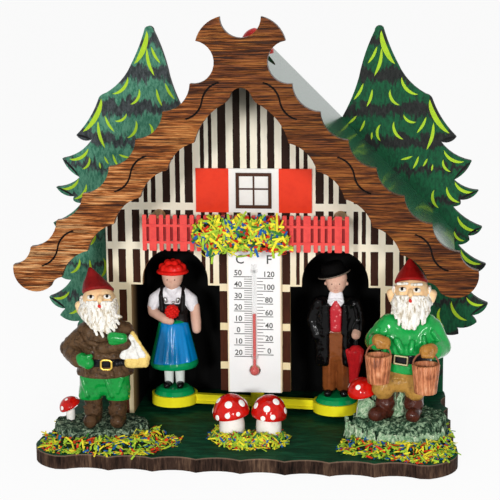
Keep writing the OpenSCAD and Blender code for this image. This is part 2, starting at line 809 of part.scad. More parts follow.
// Uneven rock outline, grown by g
module rock_outline(g, waves) polygon([for (a = [0 : 15 : 345])
    let (k = 1 + 0.05 * sin(waves * a)) [(rock_size.x * k + g) * cos(a), (rock_size.y * k + g) * sin(a)]]);

module rock(at, h, waves) translate([at.x, at.y, ground])
    linear_extrude(h, scale = 0.93) rock_outline(0, waves);

module left_rock() color("slategray") rock(left_rock_at, left_rock_h, 5);
module right_rock() color("slategray") rock(right_rock_at, right_rock_h, 4);

// Domed cap with a flat underside
module cap(r) rotate_extrude() polygon(concat([[0, 0], [0.88 * r, 0], [r, 0.14 * r]],
    reversed(arc([0, 1.28 * r], [r, 0.14 * r], 0.28 * r, 9))));

module stem(r, h) rotate_extrude() polygon(concat([[0, 0]],
    reversed(arc([0.86 * r, h], [0.94 * r, 0], 0.1 * r, 6)), [[0.86 * r, h], [0, h]]));

module front_toadstool_stems() {
    color("white") for (p = front_stools_at) translate([p.x, p.y, ground]) stem(stem_share * cap_r, stem_h);
}

module front_toadstool_caps() {
    color("red") for (p = front_stools_at) translate([p.x, p.y, ground + stem_h]) cap(cap_r);
}

left_stem_h = 4.6;
right_stem_h = 9;
module left_toadstool_stem() {
    color("white") translate([left_stool_at.x, left_stool_at.y, ground + left_rock_h])
        stem(stem_share * left_cap_r, left_stem_h);
}

module left_toadstool_cap() {
    color("red") translate([left_stool_at.x, left_stool_at.y, ground + left_rock_h + left_stem_h])
        cap(left_cap_r);
}

module right_toadstool_stem() {
    color("white") translate([right_stool_at.x, right_stool_at.y, ground + right_rock_h])
        stem(stem_share * right_cap_r, right_stem_h);
}

module right_toadstool_cap() {
    color("red") translate([right_stool_at.x, right_stool_at.y, ground + right_rock_h + right_stem_h])
        cap(right_cap_r);
}

// Mound of shavings with sloping edges, less what its children cut away
module bed(at, size) color("yellowgreen") difference() {
    translate([at.x, at.y, ground]) linear_extrude(bed_h, scale = 0.88)
        polygon([for (a = [0 : 12 : 348])
            let (k = 1 + 0.03 * sin(7 * a)) [size.x * k * cos(a), size.y * k * sin(a)]]);
    translate([0, 0, ground - cut]) linear_extrude(bed_h + 2 * cut) children();
}

// Ground that a bed leaves free: the rock, the beam's swing and the lawn behind the rock
module bed_room(at, waves) {
    translate(at) rock_outline(0.1, waves);
    translate([0, pivot_y]) circle(swing_r);
    translate([at.x - 40, at.y]) square([80, 40]);
}

module left_flower_bed() bed(left_bed_at, [20.6, 20.8]) bed_room(left_rock_at, 5);
module right_flower_bed() bed(right_bed_at, [19, 17.6]) bed_room(right_rock_at, 4);

module middle_flower_bed() bed(middle_bed_at, [14.6, 9]) for (p = front_stools_at)
    translate(p) circle(1.1 * stem_share * cap_r);

base_plate();
front_panel();
back_wall();
left_side_wall();
right_side_wall();
left_roof_panel();
right_roof_panel();
gable_fascia();
left_tree();
right_tree();
window_plate();
window_sash();
left_shutter();
right_shutter();
railing();
railing_pegs();
railing_flowers();
thermometer_plate();
thermometer_tube();
thermometer_fluid();
thermometer_clips();
gable_pin();
ridge_block();
spindle_bush();
knob_spindle();
spindle_collar();
adjusting_knob();
gut_string();
gut_plug();
weather_beam();
lady_stand();
lady_figure();
man_stand();
man_figure();
left_rock();
left_gnome();
left_toadstool_stem();
left_toadstool_cap();
right_rock();
right_gnome();
right_toadstool_stem();
right_toadstool_cap();
front_toadstool_stems();
front_toadstool_caps();
left_flower_bed();
middle_flower_bed();
right_flower_bed();
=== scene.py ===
"""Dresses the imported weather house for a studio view.

Lengths are millimetres in the row frame: +X to the viewer's right, +Y to the back, +Z up.
Finished pieces are brought to metres when they are handed over to the frame.
"""

import logging
import random
from dataclasses import dataclass, field
from enum import Enum
from math import cos, hypot, pi, radians, sin, sqrt, tau
from typing import Any, Iterable, Mapping, Sequence

import bpy
from mathutils import Matrix, Vector
from mathutils.bvhtree import BVHTree


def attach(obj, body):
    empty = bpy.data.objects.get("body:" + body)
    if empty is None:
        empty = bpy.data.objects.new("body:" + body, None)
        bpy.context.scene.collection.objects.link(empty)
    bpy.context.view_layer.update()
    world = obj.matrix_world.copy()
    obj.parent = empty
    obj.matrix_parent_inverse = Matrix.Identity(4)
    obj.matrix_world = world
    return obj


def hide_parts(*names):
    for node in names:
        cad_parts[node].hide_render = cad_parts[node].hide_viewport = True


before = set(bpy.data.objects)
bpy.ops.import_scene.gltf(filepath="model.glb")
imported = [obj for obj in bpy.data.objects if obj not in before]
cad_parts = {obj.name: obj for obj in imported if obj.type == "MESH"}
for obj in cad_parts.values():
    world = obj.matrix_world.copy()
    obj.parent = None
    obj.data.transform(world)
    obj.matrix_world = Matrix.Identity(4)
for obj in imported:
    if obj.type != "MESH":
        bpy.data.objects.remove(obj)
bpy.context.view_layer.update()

MM = 0.001
Point = tuple[float, float, float]
Spot = tuple[float, float]
Bead = tuple[float, float, float, float]
Colour = tuple[int, int, int]
Piece = bpy.types.Object
LOG = logging.getLogger("weather_house")


def linear(colour: Colour | Point) -> Point:
    """Turns a colour of 0 to 255 screen values into the renderer's linear values.

    Args:
        colour: Red, green and blue as they show on a screen, or as fractions where they are linear.

    Returns:
        The same colour in linear light.
    """
    if any(isinstance(c, float) for c in colour):
        return tuple(colour)
    return tuple(c / 3294.6 if c <= 10 else ((c / 255 + 0.055) / 1.055) ** 2.4 for c in colour)


def mix_points(a: Sequence[float], b: Sequence[float], share: float) -> tuple[float, ...]:
    """Returns the point that lies the given share of the way from a to b."""
    return tuple(p + (q - p) * share for p, q in zip(a, b))


class Body(Enum):
    """The rigid bodies that new pieces ride on."""

    HOUSE = "house"
    BEAM = "beam"


class Wire:
    """A shader socket that takes part in arithmetic; each step adds a Math node."""

    def __init__(self, graph: "Graph", socket: bpy.types.NodeSocket) -> None:
        """Keeps the socket together with the graph that it belongs to."""
        self.graph = graph
        self.socket = socket

    def __add__(self, other: "Wire | float") -> "Wire":
        """Adds a value."""
        return self.graph.math("ADD", self, other)

    def __sub__(self, other: "Wire | float") -> "Wire":
        """Takes a value away."""
        return self.graph.math("SUBTRACT", self, other)

    def __rsub__(self, other: float) -> "Wire":
        """Takes this socket away from a number."""
        return self.graph.math("SUBTRACT", other, self)

    def __mul__(self, other: "Wire | float") -> "Wire":
        """Multiplies by a value."""
        return self.graph.math("MULTIPLY", self, other)

    def __truediv__(self, other: "Wire | float") -> "Wire":
        """Divides by a value."""
        return self.graph.math("DIVIDE", self, other)

    def __gt__(self, other: "Wire | float") -> "Wire":
        """Gives 1 where this socket is the greater one."""
        return self.graph.math("GREATER_THAN", self, other)

    def __lt__(self, other: "Wire | float") -> "Wire":
        """Gives 1 where this socket is the smaller one."""
        return self.graph.math("LESS_THAN", self, other)

    def __abs__(self) -> "Wire":
        """Drops the sign."""
        return self.graph.math("ABSOLUTE", self)

    __radd__ = __add__
    __rmul__ = __mul__

    def fraction(self) -> "Wire":
        """Keeps what lies past the whole number."""
        return self.graph.math("FRACT", self)

    def most(self, other: "Wire | float") -> "Wire":
        """Takes the greater of two values."""
        return self.graph.math("MAXIMUM", self, other)

    def step(self, low: float, high: float) -> "Wire":
        """Rises smoothly from 0 at low to 1 at high."""
        return self.graph.node("MapRange", {"interpolation_type": "SMOOTHSTEP"},
            {"Value": self, "From Min": low, "From Max": high})


class Graph:
    """The node tree of a material or of the world, with one surface and its output."""

    def __init__(self, owner: bpy.types.Material | bpy.types.World, skin: str = "BsdfPrincipled",
                 output: str = "OutputMaterial") -> None:
        """Clears the owner's tree and gives it a surface and an output.

        Args:
            owner: Material or world.
            skin: Kind of the surface node.
            output: Kind of the output node.
        """
        owner.use_nodes = True
        self.tree = owner.node_tree
        self.tree.nodes.clear()
        self.skin = self.tree.nodes.new("ShaderNode" + skin)
        self.output = self.tree.nodes.new("ShaderNode" + output)
        self.tree.links.new(self.skin.outputs[0], self.output.inputs[0])

    def plug(self, socket: bpy.types.NodeSocket, value: Any) -> None:
        """Links a wire to a socket, or sets the socket's own value.

        Args:
            socket: Input to feed.
            value: Wire, number or colour.
        """
        if isinstance(value, Wire):
            self.tree.links.new(value.socket, socket)
        elif socket.type == "RGBA":
            socket.default_value = (*linear(value), 1.0)
        else:
            socket.default_value = value

    def node(self, kind: str, settings: Mapping[str, Any] | None = None,
             sockets: Mapping[Any, Any] | None = None, out: int = 0) -> Wire:
        """Adds a node.

        Args:
            kind: Type of the node, without its prefix.
            settings: Properties that are set first; stops fills a colour ramp.
            sockets: Values or wires for the inputs, by name or number.
            out: Number of the output that is wanted.

        Returns:
            The wanted output.
        """
        made = self.tree.nodes.new("ShaderNode" + kind)
        for key, value in (settings or {}).items():
            if key == "stops":
                self.fill_ramp(made.color_ramp, value)
            else:
                setattr(made, key, value)
        for key, value in (sockets or {}).items():
            self.plug(made.inputs[key], value)
        return Wire(self, made.outputs[out])

    @staticmethod
    def fill_ramp(ramp: bpy.types.ColorRamp, stops: Sequence[tuple[float, Any]]) -> None:
        """Gives a colour ramp its stops: a place and a colour or a grey value each.

        Args:
            ramp: Ramp to fill.
            stops: Places and colours.
        """
        while len(ramp.elements) < len(stops):
            ramp.elements.new(1.0)
        for element, (place, tone) in zip(ramp.elements, stops):
            element.position = place
            shade = (tone, tone, tone) if isinstance(tone, (int, float)) else linear(tone)
            element.color = (*shade, 1.0)

    def math(self, operation: str, *values: "Wire | float") -> Wire:
        """Adds one Math node on the given values."""
        return self.node("Math", {"operation": operation}, dict(enumerate(values)))

    def place(self, stretch: Point = (1, 1, 1)) -> Wire:
        """Returns the place on the piece in millimetres, stretched along each axis."""
        spot = self.node("TexCoord", out=3)
        return self.node("VectorMath", {"operation": "MULTIPLY"}, {0: spot, 1: [s / MM for s in stretch]})

    def axes(self) -> tuple[Wire, Wire, Wire]:
        """Returns the place on the piece as three wires in millimetres."""
        parts = self.node("SeparateXYZ", sockets={0: self.place()}).socket.node.outputs
        return Wire(self, parts[0]), Wire(self, parts[1]), Wire(self, parts[2])

    def noise(self, scale: float, stretch: Point = (1, 1, 1), detail: float = 2.0,
              rough: float = 0.5, twist: float = 0.0) -> Wire:
        """Returns cloudy noise.

        Args:
            scale: Clouds to the millimetre.
            stretch: Factor on the place along each axis.
            detail: Octaves of finer clouds.
            rough: Strength of the finer clouds.
            twist: How far the clouds are distorted.

        Returns:
            A value of about 0 to 1.
        """
        return self.node("TexNoise", None, {"Vector": self.place(stretch), "Scale": scale, "Detail": detail,
                                            "Roughness": rough, "Distortion": twist})

    def mix(self, share: "Wire | float", first: Any, second: Any) -> Wire:
        """Mixes two colours: the first where share is 0, the second where it is 1."""
        return self.node("Mix", {"data_type": "RGBA"}, {0: share, 6: first, 7: second}, out=2)

    def ramp(self, value: Wire, stops: Sequence[tuple[float, Any]], sharp: bool = False) -> Wire:
        """Looks a value up on a colour ramp, with hard steps where sharp is set.

        Args:
            value: Value to look up.
            stops: Places and colours.
            sharp: Hard steps.

        Returns:
            The colour.
        """
        made = self.node("ValToRGB", {"stops": stops}, {0: value})
        made.socket.node.color_ramp.interpolation = "CONSTANT" if sharp else "LINEAR"
        return made

    def bump(self, height: Wire, depth: float, strength: float = 1.0) -> Wire:
        """Turns a height of 0 to 1 into a normal, for a relief of the given depth in millimetres."""
        return self.node("Bump", None, {"Height": height, "Distance": depth * MM, "Strength": strength})

    def surface(self, **sockets: Any) -> None:
        """Sets inputs of the surface; base_color stands for Base Color.

        Args:
            sockets: Value or wire of each input.
        """
        for key, value in sockets.items():
            name = key.replace("_", " ").title().replace("Ior", "IOR")
            self.plug(self.skin.inputs[name], value)


@dataclass(frozen=True)
class Finish:
    """A surface finish, made once as a material of its own name."""

    label: str

    def material(self) -> bpy.types.Material:
        """Returns the finish's material and makes it on first use.

        Returns:
            The material, which pieces share.
        """
        name = "finish_" + self.label
        made = bpy.data.materials.get(name)
        if made is None:
            made = bpy.data.materials.new(name)
            self.lay(Graph(made))
        return made

    def lay(self, graph: Graph) -> None:
        """Lays the finish's nodes; each kind of finish has its own."""
        raise NotImplementedError


@dataclass(frozen=True)
class Paint(Finish):
    """Brushed or moulded colour with uneven patches and a little relief.

    Attributes:
        colour: Main colour.
        deep: Colour of the darker patches.
        patch: Size of a patch.
        uneven: How much of the darker colour shows.
        rough: Roughness of the surface.
        relief: Depth of the brush marks.
        coat: Weight of a clear coat.
        shine: Strength of the reflections.
    """

    colour: Colour = (128, 128, 128)
    deep: Colour = (64, 64, 64)
    patch: float = 2.0
    uneven: float = 0.35
    rough: float = 0.35
    relief: float = 0.05
    coat: float = 0.0
    shine: float = 0.1

    def lay(self, graph: Graph) -> None:
        """Mixes the two colours in patches and roughens the gloss.

        Args:
            graph: Tree of the material.
        """
        patches = graph.noise(1 / self.patch, detail=4, rough=0.6)
        fine = graph.noise(4 / self.patch, detail=2)
        share = (patches.step(0.42, 0.72) * 0.75 + fine.step(0.45, 0.8) * 0.25) * self.uneven
        graph.surface(base_color=graph.mix(share, self.colour, self.deep),
            roughness=self.rough + (fine - 0.5) * 0.16, specular_ior_level=self.shine,
            coat_weight=self.coat, coat_roughness=0.1, coat_ior=1.2,
            normal=graph.bump(patches, self.relief))


@dataclass(frozen=True)
class ScaleLabel(Finish):
    """White printed label on a cream plate.

    Attributes:
        half: Half the label's width.
    """

    half: float = 9.45

    def lay(self, graph: Graph) -> None:
        """Leaves a cream margin on both sides of the label.

        Args:
            graph: Tree of the material.
        """
        x, _, _ = graph.axes()
        patches = graph.noise(0.125, detail=4, rough=0.6)
        label = graph.mix(patches.step(0.42, 0.72) * 0.2, (250, 249, 248), (238, 234, 230))
        cream = graph.mix(patches, (250, 234, 204), (236, 214, 178))
        graph.surface(base_color=graph.mix(abs(x) > self.half, label, cream),
            roughness=0.36 + patches * 0.08, specular_ior_level=0.1, normal=graph.bump(patches, 0.01))


@dataclass(frozen=True)
class RailingPaint(Finish):
    """Red gloss of the railing, with painted shade in the recesses between the pickets.

    Attributes:
        front: Place of the pickets' front.
        recess: How far the panel between them lies back.
    """

    front: float = -10.6
    recess: float = 1.3

    def lay(self, graph: Graph) -> None:
        """Paints the pickets red and the recesses dark with painted shade.

        Args:
            graph: Tree of the material.
        """
        y = graph.axes()[1]
        patches = graph.noise(0.33, detail=4, rough=0.6)
        red = graph.mix(patches.step(0.4, 0.7) * 0.4, (234, 80, 74), (198, 46, 50))
        # Painted shade: the recessed panel between the pickets darkens towards the back.
        painted_recess_shade = (y - self.front).step(0.2, self.recess) * 0.8
        graph.surface(base_color=graph.mix(painted_recess_shade, red, (112, 18, 24)), roughness=0.28 + patches * 0.1,
            coat_weight=0.3, coat_roughness=0.1, coat_ior=1.2, specular_ior_level=0.1,
            normal=graph.bump(patches, 0.03))


@dataclass(frozen=True)
class Metal(Finish):
    """Bare turned or drawn metal."""

    colour: Colour = (170, 170, 168)
    rough: float = 0.3

    def lay(self, graph: Graph) -> None:
        """Draws fine tool marks across the metal.

        Args:
            graph: Tree of the material.
        """
        marks = graph.noise(3, (1, 1, 12), detail=3)
        tone = linear(self.colour)
        graph.surface(base_color=graph.mix(marks, [t * 0.75 for t in tone], tone), metallic=1.0,
            roughness=self.rough + marks * 0.15, normal=graph.bump(marks, 0.01))


@dataclass(frozen=True)
class Glass(Finish):
    """Clear blown glass."""

    def lay(self, graph: Graph) -> None:
        """Makes a thin clear tube that shows what lies behind it."""
        waves = graph.noise(0.4, detail=1)
        graph.surface(base_color=(0.95, 0.97, 0.97), roughness=0.03 + waves * 0.04, ior=1.3, alpha=0.1)


@dataclass(frozen=True)
class Grain(Finish):
    """Wood with streaks along one axis.

    Attributes:
        pale: Colour of the early wood.
        warm: Middle colour.
        dark: Colour of the streaks.
        along: Axis letter that the streaks follow.
        streak: Length of a streak.
        width: Width of a streak.
        rough: Roughness of the varnish.
        coat: Weight of the varnish.
        pores: How strongly the dark pores show.
    """

    pale: Colour = (200, 160, 110)
    warm: Colour = (170, 125, 80)
    dark: Colour = (110, 75, 45)
    along: str = "x"
    streak: float = 14.0
    width: float = 1.2
    rough: float = 0.4
    coat: float = 0.2
    pores: float = 0.6

    def stretch(self, longer: float = 1.0) -> Point:
        """Returns the factors that draw noise out along the streaks."""
        return tuple(self.width / (self.streak * longer) if axis == self.along else 1.0 for axis in "xyz")

    def lay(self, graph: Graph) -> None:
        """Layers broad figure, streaks and pores.

        Args:
            graph: Tree of the material.
        """
        figure = graph.noise(0.22 / self.width, self.stretch(0.5), detail=3, twist=1.2)
        streaks = graph.noise(0.9 / self.width, self.stretch(), detail=5, rough=0.65, twist=0.6)
        pores = graph.noise(3.2 / self.width, self.stretch(0.7), detail=2, rough=0.6)
        tone = figure * 0.45 + streaks * 0.55
        wood = graph.ramp(tone, [(0.3, self.dark), (0.45, self.warm), (0.62, self.pale), (0.75, self.warm)])
        lines = pores.step(0.54, 0.66) * streaks.step(0.6, 0.4) * self.pores
        deep = [t * 0.3 for t in linear(self.dark)]
        graph.surface(base_color=graph.mix(lines, wood, deep), roughness=self.rough + (streaks - 0.5) * 0.2,
            coat_weight=self.coat, coat_roughness=0.2, coat_ior=1.2, specular_ior_level=0.1,
            normal=graph.bump(1 - lines + streaks * 0.3, 0.06))


@dataclass(frozen=True)
class TimberPrint(Finish):
    """Half-timber print on cream plywood, in mirror image about the middle.

    Attributes:
        bars: Inner and outer edge of each printed bar.
        bands: Lower and upper edge of each cream band.
        half: Half-width of the panel.
        top: Height that the bands are counted up to.
        front: Place of the printed face.
    """

    bars: tuple[Spot, ...] = (
        (1.1, 2.55), (4.85, 7.5), (10.0, 12.9), (15.2, 16.4), (17.9, 19.5), (22.2, 25.2), (27.0, 28.6),
        (30.6, 33.4), (35.9, 37.6), (39.0, 40.5), (42.3, 45.1), (47.5, 50.4), (52.5, 54.2))
    bands: tuple[Spot, ...] = ((22.8, 25.7), (37.4, 40.3), (52.3, 54.9), (67.3, 70.2), (82.15, 84.8))
    half: float = 55.0
    top: float = 140.0
    front: float = 3.4

    def lay(self, graph: Graph) -> None:
        """Prints the bars, leaves the bands out, paints shade under the apex and keeps the cut edges raw.

        Args:
            graph: Tree of the material.
        """
        x, y, z = graph.axes()
        wobble = (graph.noise(0.35, detail=3) - 0.5) * 0.25
        bars = [(0.0, 0.0)] + [
            stop for low, high in self.bars for stop in ((low / self.half, 1.0), (high / self.half, 0.0))]
        bands = [(0.0, 1.0)] + [
            stop for low, high in self.bands for stop in ((low / self.top, 0.0), (high / self.top, 1.0))]
        printed = graph.ramp((abs(x) + wobble) / self.half, bars, sharp=True)
        left_in = graph.ramp((z + wobble) / self.top, bands, sharp=True)
        fleck = graph.noise(0.8, (1, 1, 0.15), detail=5, rough=0.7)
        height = z.step(40, 78)
        pale = graph.mix(fleck, graph.mix(height, (244, 228, 188), (252, 245, 228)),
            graph.mix(height, (228, 206, 160), (240, 228, 204)))
        ink = graph.mix((z / 90).step(0.3, 1.0), (74, 36, 20), (44, 26, 19))
        ink = graph.mix(fleck.step(0.35, 0.75) * 0.45, ink, (24, 13, 10))
        raw = graph.mix(fleck, (196, 164, 116), (150, 118, 80))
        face = graph.mix(printed * left_in, pale, ink)
        # Painted shade: the face darkens towards the apex, under the fascia.
        face = graph.mix(z.step(108, 128) * 0.8, face, (30, 24, 18))
        graph.surface(base_color=graph.mix(y > self.front + 0.05, face, raw), roughness=0.5 + fleck * 0.15,
            specular_ior_level=0.07, normal=graph.bump(fleck, 0.03))


@dataclass(frozen=True)
class InnerWall(Finish):
    """Side wall: raw plywood outside; inside, it turns from tan to black towards the back.

    Attributes:
        inner: Distance of the inner face from the middle.
        lit: Places between which the inside turns black.
    """

    inner: float = 46.0
    lit: Spot = (5.0, 17.0)

    def lay(self, graph: Graph) -> None:
        """Shades the inner face from tan to black.

        Args:
            graph: Tree of the material.
        """
        x, y, _ = graph.axes()
        grain = graph.noise(0.9, (1, 1, 0.1), detail=4, rough=0.65)
        tan = graph.mix(grain, (168, 140, 100), (112, 88, 58))
        # Darker towards the back of the inside, from tan to black.
        room = graph.mix(y.step(*self.lit), tan, (7, 6, 6))
        raw = graph.mix(grain, (214, 184, 136), (172, 136, 92))
        graph.surface(base_color=graph.mix(abs(x) > self.inner + 0.1, room, raw),
            roughness=0.6 + grain * 0.15, specular_ior_level=0.1, normal=graph.bump(grain, 0.06))


@dataclass(frozen=True)
class BackBoard(Finish):
    """Back wall: blackened inside, brown stained plywood behind.

    Attributes:
        inside: Place of the blackened face.
    """

    inside: float = 37.4

    def lay(self, graph: Graph) -> None:
        """Keeps the blackened face apart from the stained ones.

        Args:
            graph: Tree of the material.
        """
        _, y, _ = graph.axes()
        grain = graph.noise(0.9, (1, 1, 0.1), detail=4, rough=0.65)
        stain = graph.mix(grain, (112, 76, 46), (66, 42, 26))
        graph.surface(base_color=graph.mix(y > self.inside + 0.2, (8, 8, 8), stain),
            roughness=0.7 + grain * 0.15, specular_ior_level=0.1, normal=graph.bump(grain, 0.06))


@dataclass(frozen=True)
class FasciaWood(Finish):
    """Stained plywood with fine level streaks; its grooves and cut edges are burnt dark.

    Attributes:
        front: Place of the front face.
        groove: Depth of the carved grooves.
    """

    front: float = -34.6
    groove: float = 0.8

    def lay(self, graph: Graph) -> None:
        """Layers figure, streaks and thin dark lines, all of them level, with painted shade to the right
        and at the top and a painted pale sheen on the left.

        Args:
            graph: Tree of the material.
        """
        x, y, z = graph.axes()
        figure = graph.noise(0.16, (0.22, 1, 1), detail=3, twist=0.9)
        streaks = graph.noise(1.5, (0.045, 1, 1), detail=5, rough=0.75, twist=0.5)
        lines = graph.noise(3.4, (0.025, 1, 1), detail=3, rough=0.65, twist=0.3)
        tone = figure * 0.3 + streaks * 0.7
        wood = graph.ramp(tone, [
            (0.35, (44, 22, 13)), (0.44, (112, 58, 24)), (0.52, (168, 94, 36)), (0.61, (208, 134, 60)),
            (0.75, (136, 74, 32))])
        # Painted shade: the right side and the top of the fascia are darkened.
        shade = x.step(-42, 30) * 0.5 + z.step(98, 132) * 0.16
        wood = graph.mix(shade, wood, (58, 29, 16))
        # Painted highlight: a pale sheen on the streaks of the left part.
        glow = (1 - x.step(-66, 0)) * tone.step(0.48, 0.62) * 0.6
        wood = graph.mix(glow, wood, (226, 186, 138))
        dark = lines.step(0.47, 0.6) * (1 - tone.step(0.5, 0.66) * 0.6)
        wood = graph.mix(dark * 0.9, wood, (24, 13, 10))
        carved = abs(y - self.front - self.groove) < 0.1
        cut = y > self.front + 0.05
        edge = graph.mix(streaks, (46, 30, 22), (112, 78, 52))
        tint = graph.mix(carved, graph.mix(cut, wood, edge), (12, 9, 8))
        graph.surface(base_color=tint, roughness=0.35 + streaks * 0.2, coat_weight=0.2, coat_roughness=0.15,
            coat_ior=1.2, specular_ior_level=0.08, normal=graph.bump(1 - dark, 0.08))


@dataclass(frozen=True)
class LawnBoard(Finish):
    """Green stained top and raw brown edge of the base board."""

    top: float = 5.0

    def lay(self, graph: Graph) -> None:
        """Paints the top green, draws upright grain on the edge and paints a pale highlight along the
        edge's upper rim.

        Args:
            graph: Tree of the material.
        """
        z = graph.axes()[2]
        on_top = z > self.top - 0.05
        brush = graph.noise(0.5, (0.3, 1, 1), detail=5, rough=0.7)
        green = graph.mix(brush.step(0.35, 0.75), (6, 44, 29), (26, 90, 61))
        upright = graph.noise(1.1, (1, 1, 0.12), detail=5, rough=0.7)
        broad = graph.noise(0.16, (1, 1, 0.5), detail=3)
        edge = graph.ramp(upright * 0.6 + broad * 0.4,
            [(0.36, (16, 11, 9)), (0.5, (58, 42, 34)), (0.66, (108, 84, 66))])
        # Painted highlight: a pale line along the top of the edge, just under the lawn.
        rim = z.step(self.top - 0.7, self.top - 0.2) * (1 - on_top)
        edge = graph.mix(rim * 0.4, edge, (158, 130, 110))
        graph.surface(base_color=graph.mix(on_top, edge, green),
            roughness=0.65 - on_top * 0.15 + brush * 0.1, specular_ior_level=0.05,
            normal=graph.bump(upright, 0.08))


@dataclass(frozen=True)
class RoofGloss(Finish):
    """Deep green gloss paint on the roof boards."""

    def lay(self, graph: Graph) -> None:
        """Lays glossy green with faint brush waves.

        Args:
            graph: Tree of the material.
        """
        waves = graph.noise(0.08, (0.3, 1, 0.3), detail=3)
        fine = graph.noise(0.9, detail=3)
        green = graph.mix(waves, (22, 66, 46), (50, 104, 76))
        graph.surface(base_color=green, roughness=0.2 + fine * 0.08, coat_weight=0.25, coat_roughness=0.08,
            coat_ior=1.35, specular_ior_level=0.31, normal=graph.bump(waves, 0.05))


@dataclass(frozen=True)
class FirPaint(Finish):
    """Brushed fir greens with ragged dark bands under each tier.

    Attributes:
        deep: Darker green.
        pale: Paler green.
        soot: Darkest colour of the bands.
        ash: Dry-brushed colour of the bands.
        trunk: Distance of the trunk line from the middle.
        tier: Height of one tier.
        top: Height of the uppermost band.
        front: Place of the painted front face.
    """

    deep: Colour = (6, 66, 42)
    pale: Colour = (30, 108, 72)
    soot: Colour = (12, 10, 12)
    ash: Colour = (44, 40, 42)
    trunk: float = 45.5
    tier: float = 13.2
    top: float = 131.6
    front: float = 40.4

    def lay(self, graph: Graph) -> None:
        """Brushes the greens, then the ragged bands, on the front face.

        Args:
            graph: Tree of the material.
        """
        x, y, z = graph.axes()
        outer = (abs(x) - self.trunk).most(0)
        rags = graph.noise(0.55, (1, 1, 0.3), detail=3, rough=0.65)
        sway = graph.noise(0.12, detail=2)
        level = (outer * 0.12 - z + self.top + (rags - 0.5) * 12 + (sway - 0.5) * 9) / self.tier + 12
        phase = level.fraction()
        depth = z.step(90, 110) * (outer * 0.012 + 0.19) + 0.22 + (sway - 0.5) * 0.5
        band = phase.step(0.0, 0.1) * (depth - phase).step(-0.07, 0.07)
        brush = graph.noise(1.3, (1, 1, 0.4), detail=5, rough=0.7)
        green = graph.mix(brush.step(0.3, 0.7), self.deep, self.pale)
        soot = graph.mix(brush.step(0.35, 0.7), self.soot, self.ash)
        painted = graph.mix(band * 0.95, green, soot)
        back = y > self.front + 0.2
        graph.surface(base_color=graph.mix(back, painted, (24, 34, 26)), roughness=0.5 + brush * 0.15,
            specular_ior_level=0.15, normal=graph.bump(brush, 0.05))


GOLD_PLASTIC = Paint("gold_plastic", (252, 240, 40), (228, 206, 20), 6, 0.35, 0.2, 0.01, 0.4)
SHUTTER_RED = Paint("shutter_red", (238, 60, 30), (218, 42, 22), 5, 0.4, 0.35, 0.02, 0.15)
RAILING_RED = RailingPaint("railing_red")
SASH_BROWN = Paint("sash_brown", (76, 44, 29), (48, 26, 18), 3, 0.4, 0.35, 0.02, 0.1)
WINDOW_WHITE = Paint("window_white", (247, 244, 238), (228, 222, 212), 6, 0.3, 0.4, 0.01)
SCALE_WHITE = ScaleLabel("scale_white")
FLUID_RED = Paint("fluid_red", (216, 56, 46), (190, 30, 26), 2, 0.3, 0.2, 0.0, 0.3)
KNOB_RED = Paint("knob_red", (200, 30, 26), (140, 16, 16), 3, 0.35, 0.28, 0.02, 0.3)
INK = Paint("ink", (86, 86, 84), (62, 62, 60), 2, 0.4, 0.6, 0.0)
PIN_BLACK = Paint("pin_black", (22, 20, 22), (10, 10, 10), 1, 0.4, 0.3, 0.01)
STAND_GREEN = Paint("stand_green", (8, 152, 84), (4, 102, 56), 3, 0.4, 0.12, 0.05, 0.9)
PLUG_WHITE = Paint("plug_white", (226, 220, 204), (200, 190, 170), 3, 0.3, 0.5, 0.02)
GUT = Paint("gut", (214, 190, 130), (170, 140, 86), 1, 0.5, 0.45, 0.05)
PLY = Grain("ply", (226, 200, 156), (196, 164, 116), (150, 114, 74), "z", 26, 1.6, 0.5, 0.1, 0.35)
PEG_WOOD = Grain("peg_wood", (214, 172, 120), (186, 138, 88), (140, 96, 58), "y", 14, 0.8, 0.5, 0.1, 0.4)
FASCIA = FasciaWood("fascia_wood")
INNER_WALL = InnerWall("inner_wall")
BACK_BOARD = BackBoard("back_board")
CLIP_CLEAR = Glass("clip_clear")
STEEL = Metal("steel", (176, 176, 174), 0.3)
BRASS = Metal("brass", (196, 158, 84), 0.3)
TUBE_GLASS = Glass("tube_glass")
TIMBER = TimberPrint("timber_print")
LAWN = LawnBoard("lawn_board")
ROOF = RoofGloss("roof_gloss")
# The left tree is painted lighter and the right one darker: painted light for the sheen the left board
# catches.
FIR_LEFT = FirPaint("fir_left", (30, 94, 72), (92, 148, 122), (30, 30, 34), (74, 74, 80))
FIR_RIGHT = FirPaint("fir_right", (2, 56, 34), (16, 94, 56))


@dataclass(frozen=True)
class Beard(Finish):
    """White modelled hair with tan streaks between the strands that paint shade in the grooves."""

    def lay(self, graph: Graph) -> None:
        """Draws fine strands down the hair.

        Args:
            graph: Tree of the material.
        """
        strands = graph.noise(0.95, (1, 1, 0.3), detail=4, rough=0.65, twist=0.6)
        lumps = graph.noise(0.3, detail=3)
        # The tan lower stops are painted shade between the strands.
        tone = graph.ramp(strands,
            [(0.3, (148, 124, 92)), (0.43, (222, 211, 190)), (0.52, (250, 247, 240))])
        graph.surface(base_color=tone, roughness=0.5 + lumps * 0.15, specular_ior_level=0.1,
            normal=graph.bump(strands, 0.7))


@dataclass(frozen=True)
class RockMoss(Finish):
    """Mossy modelled ground with pale dry-brushed tips."""

    deep: Colour = (14, 34, 26)
    middle: Colour = (52, 82, 62)
    pale: Colour = (150, 182, 150)

    def lay(self, graph: Graph) -> None:
        """Lays dark moss and catches its tips with a dry brush.

        Args:
            graph: Tree of the material.
        """
        tufts = graph.noise(0.62, (1, 1, 0.8), detail=5, rough=0.62, twist=0.8)
        fine = graph.noise(2.2, detail=3, rough=0.6)
        level = tufts * 0.75 + fine * 0.25
        tone = graph.ramp(level, [(0.38, self.deep), (0.49, self.middle), (0.6, self.pale)])
        graph.surface(base_color=tone, roughness=0.7, specular_ior_level=0.08,
            normal=graph.bump(level, 1.4))


